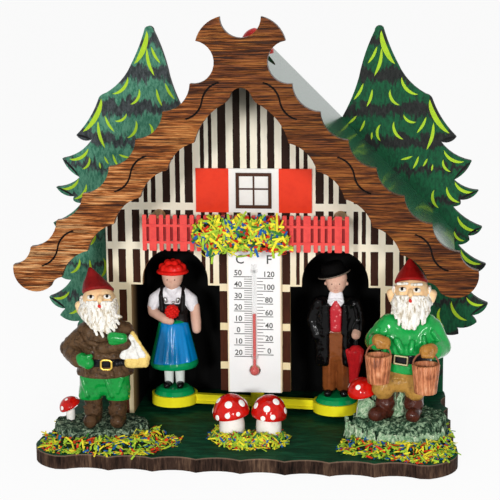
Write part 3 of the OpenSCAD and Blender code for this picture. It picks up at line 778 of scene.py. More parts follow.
@dataclass(frozen=True)
class DottedCloth(Finish):
    """Red cloth with small pale sprigs."""

    def lay(self, graph: Graph) -> None:
        """Strews the sprigs in cells.

        Args:
            graph: Tree of the material.
        """
        cells = graph.node("TexVoronoi", None, {"Vector": graph.place(), "Scale": 0.85})
        weave = graph.noise(3, detail=2)
        sprig = 1 - cells.step(0.16, 0.42)
        red = graph.mix(weave, (176, 22, 36), (206, 42, 54))
        graph.surface(base_color=graph.mix(sprig * 0.75, red, (238, 140, 140)), roughness=0.4,
            specular_ior_level=0.2, normal=graph.bump(cells, 0.08))


@dataclass(frozen=True)
class StaveWood(Finish):
    """Terracotta wood with upright grain."""

    def lay(self, graph: Graph) -> None:
        """Draws upright grain in the staves.

        Args:
            graph: Tree of the material.
        """
        grain = graph.noise(1.5, (1, 1, 0.1), detail=4, rough=0.7)
        patches = graph.noise(0.3, detail=2)
        tone = graph.ramp(grain * 0.65 + patches * 0.35,
            [(0.34, (76, 40, 28)), (0.45, (172, 100, 64)), (0.56, (214, 140, 98)), (0.7, (236, 178, 140))])
        graph.surface(base_color=tone, roughness=0.4, specular_ior_level=0.2, normal=graph.bump(grain, 0.2))


BEARD_WHITE = Beard("beard_white")
ROCK_LEFT = RockMoss("rock_left", (8, 18, 13), (50, 72, 56), (168, 190, 158))
ROCK_RIGHT = RockMoss("rock_right", (8, 22, 14), (58, 90, 66), (176, 206, 168))
TUFTS = RockMoss("pale_tufts", (84, 122, 90), (150, 186, 146), (218, 234, 202))
WAISTCOAT = DottedCloth("waistcoat_red")
STAVES = StaveWood("stave_wood")
SKIN = Paint("skin", (226, 182, 160), (208, 142, 122), 3, 0.45, 0.42, 0.02)
GNOME_SKIN = Paint("gnome_skin", (246, 210, 160), (232, 164, 110), 4.5, 0.5, 0.45, 0.06)
EYE_WHITE = Paint("eye_white", (238, 234, 224), (206, 196, 180), 1, 0.3, 0.3, 0.0)
LIP_RED = Paint("lip_red", (212, 48, 38), (176, 28, 26), 1, 0.4, 0.4, 0.0)
LIP_SOFT = Paint("lip_soft", (204, 106, 96), (184, 84, 76), 1, 0.4, 0.4, 0.0)
BROW_SOFT = Paint("brow_soft", (96, 66, 56), (64, 44, 38), 1, 0.4, 0.4, 0.0)
HAIR_DARK = Paint("hair_dark", (44, 28, 20), (20, 12, 10), 1, 0.5, 0.5, 0.1)
BLOUSE_WHITE = Paint("blouse_white", (240, 237, 240), (196, 190, 200), 1.4, 0.5, 0.32, 0.15, 0.2)
BLACK_GLOSS = Paint("black_gloss", (16, 14, 14), (6, 5, 5), 2, 0.4, 0.16, 0.05, 0.6)
BODICE_BLACK = Paint("bodice_black", (24, 20, 20), (10, 8, 8), 1.4, 0.5, 0.3, 0.1, 0.3)
BELT_BLACK = Paint("belt_black", (22, 22, 26), (10, 10, 12), 1.6, 0.5, 0.2, 0.2, 0.5)
APRON_BLUE = Paint("apron_blue", (4, 134, 204), (2, 98, 172), 5, 0.4, 0.1, 0.02, 0.9)
SKIRT_GREEN = Paint("skirt_green", (8, 154, 94), (4, 110, 64), 4, 0.4, 0.14, 0.03, 0.6)
STOCKING_WHITE = Paint("stocking_white", (230, 236, 230), (196, 206, 202), 1.6, 0.4, 0.4, 0.05, 0.2)
FLOWER_RED = Paint("flower_red", (228, 34, 26), (150, 8, 12), 0.7, 0.5, 0.35, 0.1)
HAT_RED = Paint("hat_red", (240, 36, 28), (188, 14, 16), 2.2, 0.45, 0.16, 0.05, 0.8)
SILVER = Metal("silver", (206, 206, 204), 0.25)
COAT_BLACK = Paint("coat_black", (8, 7, 8), (3, 3, 3), 2.4, 0.5, 0.14, 0.15, 0.7, 0.08)
TROUSER_BROWN = Paint("trouser_brown", (136, 74, 36), (84, 40, 20), 2.6, 0.5, 0.18, 0.06, 0.8)
FELT = Paint("felt", (8, 7, 7), (4, 4, 4), 1.2, 0.5, 0.75, 0.08, 0.0, 0.05)
BRIM_GREY = Paint("brim_grey", (146, 132, 118), (96, 84, 74), 1.4, 0.5, 0.6, 0.06)
UMBRELLA_RED = Paint("umbrella_red", (212, 36, 42), (146, 14, 22), 2.4, 0.45, 0.18, 0.05, 0.7)
COAT_BROWN = Paint("coat_brown", (96, 72, 50), (34, 24, 17), 2.2, 0.95, 0.4, 0.4, 0.2, 0.06)
COAT_GREEN = Paint("coat_green", (26, 164, 74), (8, 112, 48), 3.6, 0.5, 0.19, 0.06, 1.0, 0.16)
GLOSS_GREEN = Paint("gloss_green", (8, 146, 58), (2, 92, 38), 3.6, 0.5, 0.19, 0.06, 1.0, 0.16)
BOOT_BROWN = Paint("boot_brown", (86, 62, 42), (30, 21, 15), 2.0, 0.95, 0.4, 0.4, 0.2, 0.06)
BOOT_DARK = Paint("boot_dark", (80, 39, 28), (32, 15, 12), 2.2, 0.8, 0.2, 0.25, 0.6)
CAP_MAROON = Paint("cap_maroon", (142, 30, 30), (82, 16, 20), 4, 0.6, 0.5, 0.1)
CAP_RED_DARK = Paint("cap_red_dark", (156, 22, 20), (104, 10, 12), 5, 0.5, 0.45, 0.05)
BUCKLE_GOLD = Metal("buckle_gold", (240, 200, 96), 0.22)
BUCKLE_DULL = Metal("buckle_dull", (168, 156, 120), 0.4)
OCHRE = Paint("ochre", (178, 124, 56), (112, 70, 30), 2.2, 0.7, 0.3, 0.1, 0.3)
TAN = Paint("tan", (182, 136, 66), (112, 74, 32), 3.0, 0.7, 0.3, 0.15, 0.3)
BAIL_BROWN = Paint("bail_brown", (150, 92, 68), (96, 54, 40), 1.4, 0.5, 0.4, 0.1, 0.2)
SACK_WHITE = Paint("sack_white", (240, 238, 232), (178, 170, 158), 1.6, 0.6, 0.6, 0.4)
SACK_YELLOW = Paint("sack_yellow", (236, 206, 122), (186, 142, 66), 1.6, 0.65, 0.6, 0.4)
STEM_WHITE = Paint("stem_white", (250, 247, 240), (226, 218, 204), 3, 0.4, 0.4, 0.05, 0.1)
CAP_RED = Paint("cap_red", (212, 24, 14), (140, 6, 8), 4.2, 0.75, 0.1, 0.02, 0.9)
SPOT_WHITE = Paint("spot_white", (252, 250, 246), (236, 226, 216), 1.4, 0.35, 0.35, 0.05)
MAT_GREEN = Paint("mat_green", (24, 42, 18), (8, 14, 8), 1.2, 0.7, 0.8, 0.3)
LIME = Paint("leaf_lime", (176, 212, 46), (140, 188, 34), 2.4, 0.35, 0.5, 0.02)
RIM_BLACK = Paint("rim_black", (20, 18, 20), (10, 9, 10), 2, 0.4, 0.6, 0.02)
SHAVING_TINTS = ((Paint("shaving_lime", (172, 206, 62), (112, 164, 46), 1.2, 0.6, 0.6, 0.02), 35),
                 (Paint("shaving_yellow", (246, 232, 62), (226, 196, 40), 1.2, 0.45, 0.6, 0.02), 29),
                 (Paint("shaving_red", (222, 62, 34), (176, 34, 22), 1.2, 0.45, 0.6, 0.02), 15),
                 (Paint("shaving_blue", (36, 98, 168), (20, 60, 124), 1.2, 0.45, 0.6, 0.02), 11),
                 (Paint("shaving_green", (60, 126, 50), (30, 80, 34), 1.2, 0.45, 0.6, 0.02), 10))
SHORT_TINTS = ("shaving_red", "shaving_blue")


class Bench:
    """Hand tools: each one adds primitives at their size and place and shapes them.

    Attributes:
        BATCH: Number of limbs that are moulded together.
        BIG_BEAD: Radius over which a bead gets more rings.
    """

    BATCH = 8
    BIG_BEAD = 1.6

    @staticmethod
    def clear() -> None:
        """Leaves edit mode and deselects everything."""
        if bpy.context.object and bpy.context.object.mode != "OBJECT":
            bpy.ops.object.mode_set(mode="OBJECT")
        bpy.ops.object.select_all(action="DESELECT")

    @staticmethod
    def settle() -> None:
        """Works place, turn and size of what is selected into its mesh."""
        bpy.ops.object.transform_apply(location=True, rotation=True, scale=True)

    @classmethod
    def pick(cls, *pieces: Piece) -> None:
        """Selects just these pieces and makes the first one active.

        Args:
            pieces: Pieces to select.
        """
        cls.clear()
        for piece in pieces:
            piece.select_set(True)
        bpy.context.view_layer.objects.active = pieces[0]

    @classmethod
    def edit(cls, piece: Piece) -> None:
        """Opens a piece in edit mode with all of it selected.

        Args:
            piece: Piece to open.
        """
        cls.pick(piece)
        bpy.ops.object.mode_set(mode="EDIT")
        bpy.ops.mesh.select_all(action="SELECT")

    @classmethod
    def close(cls) -> Piece:
        """Leaves edit mode and returns the piece that was open."""
        bpy.ops.object.mode_set(mode="OBJECT")
        return bpy.context.object

    @classmethod
    def modify(cls, piece: Piece, kind: str, **settings: Any) -> None:
        """Adds a modifier with these settings and applies it.

        Args:
            piece: Piece to change.
            kind: Kind of modifier.
            settings: The modifier's values.
        """
        cls.pick(piece)
        modifier = piece.modifiers.new(kind.title(), kind)
        for key, value in settings.items():
            setattr(modifier, key, value)
        bpy.ops.object.modifier_apply(modifier=modifier.name)

    @classmethod
    def join(cls, pieces: Sequence[Piece]) -> Piece:
        """Joins pieces into the first one.

        Args:
            pieces: Pieces to join.

        Returns:
            The first piece.
        """
        cls.pick(*pieces)
        if len(pieces) > 1:
            bpy.ops.object.join()
        return bpy.context.object

    @classmethod
    def cast(cls, limbs: Iterable[Sequence[Bead]], voxel: float = 0.3, melt: int = 6) -> Piece:
        """Casts rounded limbs into one smooth form.

        Args:
            limbs: Rows of beads, each with its centre and radius; a limb is the hull of its beads.
            voxel: Size of the grid on which the limbs are merged.
            melt: Rounds of smoothing after that.

        Returns:
            The casting.
        """
        rows = list(limbs)
        piece = cls.join([cls.mould(rows[i:i + cls.BATCH]) for i in range(0, len(rows), cls.BATCH)])
        cls.melt(piece, voxel, melt)
        return piece

    @classmethod
    def mould(cls, limbs: Sequence[Sequence[Bead]]) -> Piece:
        """Stretches a hull over the beads of each limb.

        Args:
            limbs: Beads of each limb.

        Returns:
            All hulls in one piece.
        """
        cls.clear()
        bpy.ops.mesh.primitive_uv_sphere_add(segments=20, ring_count=10, radius=1)
        bpy.ops.object.mode_set(mode="EDIT")
        bpy.ops.mesh.select_all(action="SELECT")
        bpy.ops.mesh.delete(type="VERT")
        for limb in limbs:
            for x, y, z, radius in limb:
                rings = 10 if radius > cls.BIG_BEAD else 6
                bpy.ops.mesh.primitive_uv_sphere_add(segments=2 * rings, ring_count=rings, radius=radius,
                    location=(x, y, z))
            bpy.ops.mesh.select_all(action="SELECT")
            bpy.ops.mesh.convex_hull()
            bpy.ops.mesh.hide(unselected=False)
        bpy.ops.mesh.reveal()
        return cls.close()

    @classmethod
    def melt(cls, piece: Piece, voxel: float, rounds: int) -> None:
        """Merges a piece's overlapping shells on a grid and smooths the steps away.

        Args:
            piece: Piece to change.
            voxel: Step of the grid.
            rounds: Rounds of smoothing.
        """
        cls.modify(piece, "REMESH", mode="VOXEL", voxel_size=voxel, use_smooth_shade=True)
        if rounds:
            cls.modify(piece, "SMOOTH", factor=0.5, iterations=rounds)

    @classmethod
    def roughen(cls, piece: Piece, depth: float, size: float) -> None:
        """Makes a surface uneven by this depth, in lumps of this size.

        Args:
            piece: Piece to change.
            depth: Depth of the lumps.
            size: Size of the lumps.
        """
        lumps = bpy.data.textures.new("lumps", "CLOUDS")
        lumps.noise_scale = size
        cls.modify(piece, "DISPLACE", texture=lumps, texture_coords="LOCAL", strength=depth, mid_level=0.5)
        bpy.data.textures.remove(lumps)

    @classmethod
    def trim(cls, piece: Piece, spot: Point, side: Point) -> None:
        """Cuts away what lies past a plane, on the given side of it.

        Args:
            piece: Piece to cut.
            spot: Point on the plane.
            side: Direction of what is cut away.
        """
        cls.edit(piece)
        bpy.ops.mesh.bisect(plane_co=spot, plane_no=side, use_fill=True, clear_outer=True)
        cls.close()

    @classmethod
    def lathe(cls, profile: Sequence[Spot], at: Point = (0, 0, 0), steps: int = 40) -> Piece:
        """Spins a profile of radius and height about an upright axis.

        Args:
            profile: Points from the lower end of the axis to the upper one.
            at: Foot of the axis.
            steps: Segments of a full turn.

        Returns:
            The turned piece.
        """
        points = [(at[0] + r, at[1], at[2] + z) for r, z in profile]
        piece = cls.outline(points, closed=False)
        cls.edit(piece)
        bpy.ops.mesh.spin(steps=steps, angle=tau, center=at, axis=(0, 0, 1))
        bpy.ops.mesh.select_all(action="SELECT")
        bpy.ops.mesh.remove_doubles(threshold=0.001)
        bpy.ops.mesh.normals_make_consistent(inside=False)
        return cls.close()

    @classmethod
    def outline(cls, points: Sequence[Point], closed: bool = True) -> Piece:
        """Draws a face, or an open line, through points.

        Args:
            points: Corners in order.
            closed: Makes a face of them.

        Returns:
            The drawing.
        """
        cls.clear()
        bpy.ops.mesh.primitive_plane_add(size=1, location=points[0])
        cls.settle()
        bpy.ops.object.mode_set(mode="EDIT")
        bpy.ops.mesh.select_all(action="SELECT")
        bpy.ops.mesh.merge(type="CENTER")
        for start, end in zip(points, points[1:]):
            bpy.ops.mesh.extrude_region_move(TRANSFORM_OT_translate={"value": Vector(end) - Vector(start)})
        if closed:
            bpy.ops.mesh.select_all(action="SELECT")
            bpy.ops.mesh.edge_face_add()
        return cls.close()

    @classmethod
    def slab(cls, piece: Piece, push: Point) -> Piece:
        """Extrudes a piece's faces by a step and closes the slab.

        Args:
            piece: Flat piece.
            push: Step of the extrusion.

        Returns:
            The same piece.
        """
        cls.edit(piece)
        bpy.ops.mesh.extrude_region_move(TRANSFORM_OT_translate={"value": push})
        bpy.ops.mesh.select_all(action="SELECT")
        bpy.ops.mesh.normals_make_consistent(inside=False)
        return cls.close()

    @classmethod
    def block(cls, low: Point, high: Point, round_off: float = 0.0) -> Piece:
        """Makes a block between two corners, with its edges rounded off.

        Args:
            low: Lowest corner.
            high: Highest corner.
            round_off: Width of the bevel.

        Returns:
            The block.
        """
        cls.clear()
        middle = mix_points(low, high, 0.5)
        bpy.ops.mesh.primitive_cube_add(size=1, location=middle)
        piece = bpy.context.object
        piece.scale = [h - l for l, h in zip(low, high)]
        cls.settle()
        if round_off:
            cls.modify(piece, "BEVEL", width=round_off, segments=2)
        return piece

    @classmethod
    def words(cls, text: str, height: float, at: Point) -> Piece:
        """Sets a number or letter upright on a face that looks to the front, about its middle.

        Args:
            text: Number or letter.
            height: Height of a digit.
            at: Middle of the foot.

        Returns:
            The print as a mesh.
        """
        cls.clear()
        bpy.ops.object.text_add()
        piece = bpy.context.object
        piece.data.body = text
        piece.data.size = height
        piece.data.align_x = "CENTER"
        piece.data.offset = 0.05
        piece.data.resolution_u = 3
        bpy.ops.object.convert(target="MESH")
        piece = bpy.context.object
        piece.rotation_euler = (pi / 2, 0, 0)
        piece.location = at
        cls.settle()
        return piece

    @classmethod
    def copy_node(cls, node: str) -> Piece:
        """Copies a node's mesh in millimetres, with its loose triangles merged into plain faces.

        Args:
            node: Name of the node.

        Returns:
            The copy.
        """
        cls.clear()
        piece = bpy.data.objects.new("copy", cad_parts[node].data.copy())
        bpy.context.scene.collection.objects.link(piece)
        piece.data.materials.clear()
        piece.data.transform(Matrix.Scale(1 / MM, 4))
        cls.edit(piece)
        bpy.ops.mesh.remove_doubles(threshold=0.005)
        bpy.ops.mesh.dissolve_limited(angle_limit=radians(1))
        return cls.close()

    @classmethod
    def hand_over(cls, piece: Piece, name: str, body: Body, slot: str, finish: Finish,
                  replaces: Sequence[str] = (), smooth: float = 40.0) -> Piece:
        """Brings a finished piece to metres and hands it to the frame.

        Args:
            piece: The finished piece.
            name: Name of the piece.
            body: Body that it rides on.
            slot: Material slot of the record; not used.
            finish: Finish that it gets.
            replaces: Nodes that it stands for.
            smooth: Angle below which its edges are shaded smooth.

        Returns:
            The piece.
        """
        cls.pick(piece)
        piece.name = name
        piece.data.name = name
        piece.scale = (MM, MM, MM)
        piece.location = [c * MM for c in piece.location]
        cls.settle()
        bpy.ops.object.shade_smooth_by_angle(angle=radians(smooth))
        piece.data.materials.clear()
        piece.data.materials.append(finish.material())
        if replaces:
            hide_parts(*replaces)
        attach(piece, body.value)
        LOG.info("%s rides on %s", name, body.value)
        return piece

    @staticmethod
    def finish_node(node: str, finish: Finish) -> None:
        """Gives a node of the frame its finish.

        Args:
            node: Name of the node.
            finish: Its finish.
        """
        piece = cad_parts[node]
        piece.data.materials.clear()
        piece.data.materials.append(finish.material())
        LOG.info("%s is finished in %s", node, finish.label)


@dataclass
class Studio:
    """Camera, lamps, floor and white surroundings.

    Attributes:
        target: Point that the camera looks at.
        azimuth: Angle of the camera to the right of the front, in degrees.
        elevation: Angle of the camera over the horizon, in degrees.
        roll: Roll of the camera, in degrees.
        distance: Distance of the camera from the target.
        lens: Focal length of the camera.
        sensor: Width of the camera's sensor.
        lamps: Name, place, side and power in watts of each lamp.
        aim: Point that the lamps face.
        floor_glow: Share of plain white in the floor as it is seen.
        ambient: Strength of the white surroundings as a lamp.
    """

    target: Point = (-1.63, 3.4, 67.98)
    azimuth: float = 6.439
    elevation: float = 11.373
    roll: float = -0.559
    distance: float = 599.1
    lens: float = 118.14
    sensor: float = 36
    lamps: tuple[tuple[str, Point, float, float], ...] = (
        ("key_lamp", (-170, -1110, 300), 120, 5.7), ("fill_lamp", (330, -1060, 250), 120, 3.9),
        ("top_lamp", (60, -60, 900), 500, 1.7))
    aim: Point = (0, 0, 70)
    floor_glow: float = 0.93
    ambient: float = 0.28

    def build(self) -> None:
        """Sets up the whole studio."""
        bpy.context.scene.view_settings.view_transform = "Standard"
        self.set_camera()
        self.set_floor()
        self.set_world()
        for lamp in self.lamps:
            self.add_lamp(*lamp)

    def set_camera(self) -> None:
        """Aims the camera by its angles."""
        turn, lift, roll = (radians(a) for a in (self.azimuth, self.elevation, self.roll))
        back = Vector((sin(turn) * cos(lift), -cos(turn) * cos(lift), sin(lift)))
        right = Vector((cos(turn), sin(turn), 0))
        up = back.cross(right)
        side = right * cos(roll) + up * sin(roll)
        head = up * cos(roll) - right * sin(roll)
        data = bpy.data.cameras.new("camera")
        data.lens = self.lens
        data.sensor_width = self.sensor
        data.clip_start = 0.01
        camera = bpy.data.objects.new("camera", data)
        place = (Vector(self.target) + back * self.distance) * MM
        camera.matrix_world = Matrix.Translation(place) @ Matrix((side, head, back)).transposed().to_4x4()
        bpy.context.scene.collection.objects.link(camera)
        bpy.context.scene.camera = camera

    @staticmethod
    def seen_directly(graph: Graph) -> Wire:
        """Gives 1 on camera rays, reflections and rays through glass.

        Args:
            graph: Tree that asks.

        Returns:
            The value.
        """
        path = graph.node("LightPath").socket.node.outputs
        rays = [
            Wire(graph, path[name]) for name in ("Is Camera Ray", "Is Glossy Ray", "Is Transmission Ray")]
        return rays[0].most(rays[1]).most(rays[2])

    def set_floor(self) -> None:
        """Lays a pale floor that keeps a soft shadow."""
        Bench.clear()
        bpy.ops.mesh.primitive_plane_add(size=30, location=(0, 0, -0.0001))
        floor = bpy.context.object
        floor.name = "floor"
        material = bpy.data.materials.new("floor_white")
        graph = Graph(material)
        grit = graph.noise(0.02, detail=2)
        graph.surface(base_color=graph.mix(grit, (0.9, 0.9, 0.9), (0.88, 0.88, 0.88)), roughness=0.8)
        glow = graph.node("Emission", None, {"Color": (1.0, 1.0, 1.0), "Strength": 1.0})
        share = self.seen_directly(graph) * self.floor_glow
        both = graph.node("MixShader", None, {0: share, 1: Wire(graph, graph.skin.outputs[0]), 2: glow})
        graph.plug(graph.output.inputs[0], both)
        floor.data.materials.append(material)

    def set_world(self) -> None:
        """Surrounds the object with white that lights it only a little."""
        world = bpy.data.worlds.new("studio_white")
        bpy.context.scene.world = world
        graph = Graph(world, "Background", "OutputWorld")
        graph.surface(color=(1.0, 1.0, 1.0),
            strength=self.seen_directly(graph) * (1 - self.ambient) + self.ambient)

    def add_lamp(self, name: str, at: Point, size: float, power: float) -> None:
        """Hangs a square lamp that faces the object.

        Args:
            name: Name of the lamp.
            at: Place of the lamp.
            size: Side of its face.
            power: Its power in watts.
        """
        data = bpy.data.lights.new(name, "AREA")
        data.size = size * MM
        data.energy = power
        lamp = bpy.data.objects.new(name, data)
        lamp.location = [c * MM for c in at]
        aim = Vector(self.aim) - Vector(at)
        lamp.rotation_euler = aim.to_track_quat("-Z", "Y").to_euler()
        bpy.context.scene.collection.objects.link(lamp)


@dataclass
class House:
    """The nodes that keep their own shape, with the finish of each."""

    finishes: Mapping[str, Finish] = field(default_factory=lambda: {
        "base_plate": LAWN, "front_panel": TIMBER, "back_wall": BACK_BOARD, "left_side_wall": INNER_WALL,
        "right_side_wall": INNER_WALL, "left_roof_panel": ROOF, "right_roof_panel": ROOF,
        "gable_fascia": FASCIA, "left_tree": FIR_LEFT, "right_tree": FIR_RIGHT,
        "window_plate": WINDOW_WHITE, "window_sash": SASH_BROWN, "left_shutter": SHUTTER_RED,
        "right_shutter": SHUTTER_RED, "railing": RAILING_RED, "railing_pegs": PEG_WOOD,
        "thermometer_plate": SCALE_WHITE, "thermometer_tube": TUBE_GLASS, "thermometer_clips": CLIP_CLEAR,
        "gable_pin": PIN_BLACK, "ridge_block": PLY, "spindle_bush": BRASS, "knob_spindle": STEEL,
        "spindle_collar": STEEL, "adjusting_knob": KNOB_RED, "gut_string": GUT, "gut_plug": PLUG_WHITE,
        "weather_beam": GOLD_PLASTIC, "lady_stand": STAND_GREEN, "man_stand": STAND_GREEN})

    def dress(self) -> None:
        """Finishes every node whose shape is right as it is."""
        for node, finish in self.finishes.items():
            Bench.finish_node(node, finish)


Limb = Sequence[Bead]
GOLDEN_ANGLE = 2.39996


def both(*beads: Bead) -> list[Limb]:
    """Returns a limb and its mirror image."""
    return [[(side * x, y, z, r) for x, y, z, r in beads] for side in (-1, 1)]


def moved(limbs: Iterable[Limb], step: Point) -> list[Limb]:
    """Returns limbs that are moved by a step."""
    return [[(x + step[0], y + step[1], z + step[2], r) for x, y, z, r in limb] for limb in limbs]


def ring(at: Point, radius: Spot, bead: float, count: int = 12, lift: float = 0.0) -> list[Bead]:
    """Places beads on an ellipse.

    Args:
        at: Centre of the ellipse.
        radius: Its half-widths across and to the front.
        bead: Radius of a bead.
        count: Number of beads.
        lift: How much higher the front is than the middle.

    Returns:
        The beads, from the front round to the right.
    """
    turns = [tau * i / count for i in range(count)]
    return [(at[0] + radius[0] * sin(t), at[1] - radius[1] * cos(t), at[2] + lift * cos(t), bead)
            for t in turns]


def closed(beads: Sequence[Bead]) -> list[Limb]:
    """Returns limbs that join beads into a closed loop."""
    return [[a, b] for a, b in zip(beads, [*beads[1:], beads[0]])]


def pleats(angles: Iterable[float], top: Bead, foot: Bead) -> list[Limb]:
    """Sets folds round an upright axis.

    Args:
        angles: Angle of each fold from the front, in degrees.
        top: Half-widths across and to the front, height and bead radius of the upper end.
        foot: The same of the lower end.

    Returns:
        One limb for each fold.
    """
    limbs = []
    for angle in angles:
        across, ahead = sin(radians(angle)), -cos(radians(angle))
        limbs.append([(end[0] * across, end[1] * ahead, end[2], end[3]) for end in (top, foot)])
    return limbs


def studs(at: Point, radius: float, count: int, size: float) -> list[Limb]:
    """Spreads single beads evenly over a ball.

    Args:
        at: Middle of the ball.
        radius: Radius of the ball.
        count: Number of beads.
        size: Radius of a bead.

    Returns:
        One limb per bead.
    """
    limbs = []
    for i in range(count):
        up = 1 - 2 * (i + 0.5) / count
        turn = i * GOLDEN_ANGLE
        out = sqrt(1 - up * up) * radius
        limbs.append([(at[0] + out * cos(turn), at[1] + out * sin(turn), at[2] + up * radius, size)])
    return limbs


@dataclass
class Figure:
    """A painted figure that is cast region by region, so that each paint ends at a crisp line.

    Attributes:
        name: Name that its pieces start with.
        node: Node that the figure stands for.
        slot: Material slot of the record.
        body: Body that it rides on.
        at: Place of its soles.
        shaped: Number of regions that are done.
    """

    name: str
    node: str
    slot: str
    body: Body
    at: Point
    shaped: int = 0

    def add(self, piece: Piece, label: str, finish: Finish) -> None:
        """Puts a piece on its soles and hands it over.

        Args:
            piece: Piece to place.
            label: Name of the region.
            finish: Its finish.
        """
        piece.location = self.at
        Bench.hand_over(piece, f"{self.name}_{label}", self.body, self.slot, finish,
            () if self.shaped else (self.node,), 60)
        self.shaped += 1

    def shape(self, label: str, limbs: Iterable[Limb], finish: Finish, voxel: float = 0.3, melt: int = 5,
              trims: Sequence[tuple[Point, Point]] = (), grain: Spot = (0, 1)) -> None:
        """Casts one region.

        Args:
            label: Name of the region.
            limbs: Its limbs about the figure's own soles.
            finish: Paint of the region.
            voxel: Size of the casting grid.
            melt: Rounds of smoothing.
            trims: Planes, each a point and the side that is cut away.
            grain: Depth and size of a modelled unevenness.
        """
        piece = Bench.cast(limbs, voxel, melt)
        if grain[0]:
            Bench.roughen(piece, *grain)
        for spot, side in trims:
            Bench.trim(piece, spot, side)
        self.add(piece, label, finish)


@dataclass
class Lady(Figure):
    """Figure in a red hat, white blouse, black bodice and blue apron."""

    def build(self) -> None:
        """Casts all regions of the figure."""
        self.skirt()
        self.shape("bodice", [
            *both((2.4, 0, 25.2, 2.9), (2.9, 0, 30, 2.9)), [(-2.9, 0, 25.6, 3), (2.9, 0, 25.6, 3)],
            [(-2.8, -0.2, 30.4, 3), (2.8, -0.2, 30.4, 3)],
            *both((3.7, -2.6, 30, 1.2), (4.2, -2.5, 35.5, 0.85)),
            *both((4.2, -2.5, 35.5, 0.85), (4, 0, 38.2, 0.8)),
            *both((4, 0, 38.2, 0.8), (3.9, 2.4, 35, 0.8))], BODICE_BLACK, 0.22, 4)
        self.shape("blouse", [
            [(-3.2, 0, 30, 2.5), (3.2, 0, 30, 2.5), (-3.4, 0, 35.4, 2.4), (3.4, 0, 35.4, 2.4)],
            [(-1.6, -0.2, 37, 1.9), (1.6, -0.2, 37, 1.9), (0, -0.6, 38.4, 2.2)],
            [(-1.2, -1.6, 37.6, 1.3), (1.2, -1.6, 37.6, 1.3), (0, -1.8, 36, 1.2)],
            *both((4, 0, 36.4, 1.8), (7, 0, 33.6, 2.3), (7.6, -0.2, 31.2, 2.1)),
            *both((4.4, -0.8, 36.6, 1.2), (7.2, -1.5, 30.4, 1.2)),
            *both((5.2, 0.4, 36.4, 1.2), (9, 0, 30.6, 1)),
            *both((5, -1.4, 36, 0.8), (8.4, -1.4, 30.2, 0.8))], BLOUSE_WHITE, 0.25, 3,
            trims=[((0, 0, 29.5), (0, 0, -1))])
        self.shape("skin", [
            [(0, -0.4, 37, 2.0), (0, -0.4, 39.4, 2.3)],
            [(0, -1.3, 39.3, 2.1), (0, -0.7, 41.4, 3.7), (0, -0.2, 43.6, 4.2)],
            [(0, -4.2, 42.2, 0.3), (0, -4.4, 41.2, 0.45)], [(-7.8, -0.3, 31, 1.9), (-7.6, -0.8, 28.8, 1.9)],
            [(-7.6, -0.8, 28.8, 1.9), (-2.4, -5, 27, 1.65)],
            [(-2.4, -5, 27, 1.65), (-0.2, -5.8, 26.6, 1.5)],
            [(8.2, -0.3, 31, 1.9), (8.7, -0.8, 25.6, 1.95)],
            [(8.7, -0.8, 25.6, 1.95), (9, -1.6, 22.6, 1.7)]], SKIN, 0.22, 5)
        self.shape("hair", [[(-1.6, 1.4, 41.6, 2.4), (1.6, 1.4, 41.6, 2.4), (0, 2, 40.4, 2.2)]], HAIR_DARK)
        self.shape("lips", [[(-0.45, -3.5, 39.5, 0.24), (0.45, -3.5, 39.5, 0.24)]], LIP_SOFT, 0.12, 2)
        self.shape("pupils", both((1.4, -4.2, 41.9, 0.27)), BROW_SOFT, 0.1, 2)
        self.shape("ornaments",
            [*both((2.4, -3.5, 34.4, 0.75), (2.2, -3.5, 33.6, 0.7)), [(0.6, -3.5, 33.2, 0.6)]], SILVER,
            0.15, 3)
        self.shape("bouquet", [[(0.5, -6, 30.2, 2.2)], *studs((0.5, -6, 30.2), 2.25, 46, 0.6)], FLOWER_RED,
            0.16, 2)
        lobes = [[(3.7 * sin(t), -3.5 * cos(t), 45.9, 1.6)] for t in [tau * i / 8 for i in range(8)]]
        tops = [[(1.9 * sin(t), -1.8 * cos(t), 47.4, 1.5)] for t in [tau * (i + 0.5) / 5 for i in range(5)]]
        self.shape("hat", [
            ring((0, 0, 44.3), (5.4, 5.2), 0.7, 20),
            [*ring((0, 0, 45.4), (3.2, 3.2), 1.7, 14), (0, 0, 46.8, 1.9)], *lobes, *tops], HAT_RED, 0.2, 2)
        self.shape("stockings", both((2.1, 0.3, 1.5, 1.7), (2.1, 0, 9.4, 2)), STOCKING_WHITE)
        self.shape("shoes", both((2.1, 0.6, 0.9, 1.6), (2.5, -2.9, 0.8, 1.4)), BLACK_GLOSS)

    def skirt(self) -> None:
        """Casts the green skirt and the blue apron over it."""
        self.shape("skirt",
            [[*ring((0, 0, 24), (3.6, 3.2), 2.2, 20), *ring((0, 0, 9.4), (7.1, 6.9), 2.2, 24)]],
            SKIRT_GREEN, melt=3, trims=[((0, 0, 8.0), (0, 0, -1))])
        sheet = [[*pleats((a - 16, a, a + 16), (4.4, 4.0, 24.2, 1.5), (7.65, 7.5, 10, 1.9))]
                 for a in (-28, 2, 32, 62)]
        folds = [[bead for fold in panel for bead in fold] for panel in sheet]
        self.shape("apron",
            [*folds, *pleats((-40, -14, 16, 46), (4.8, 4.4, 24, 1.2), (8.35, 8.2, 11, 1.5))], APRON_BLUE,
            melt=4, trims=[((0, 0, 10.6), (0.06, 0, -1))])


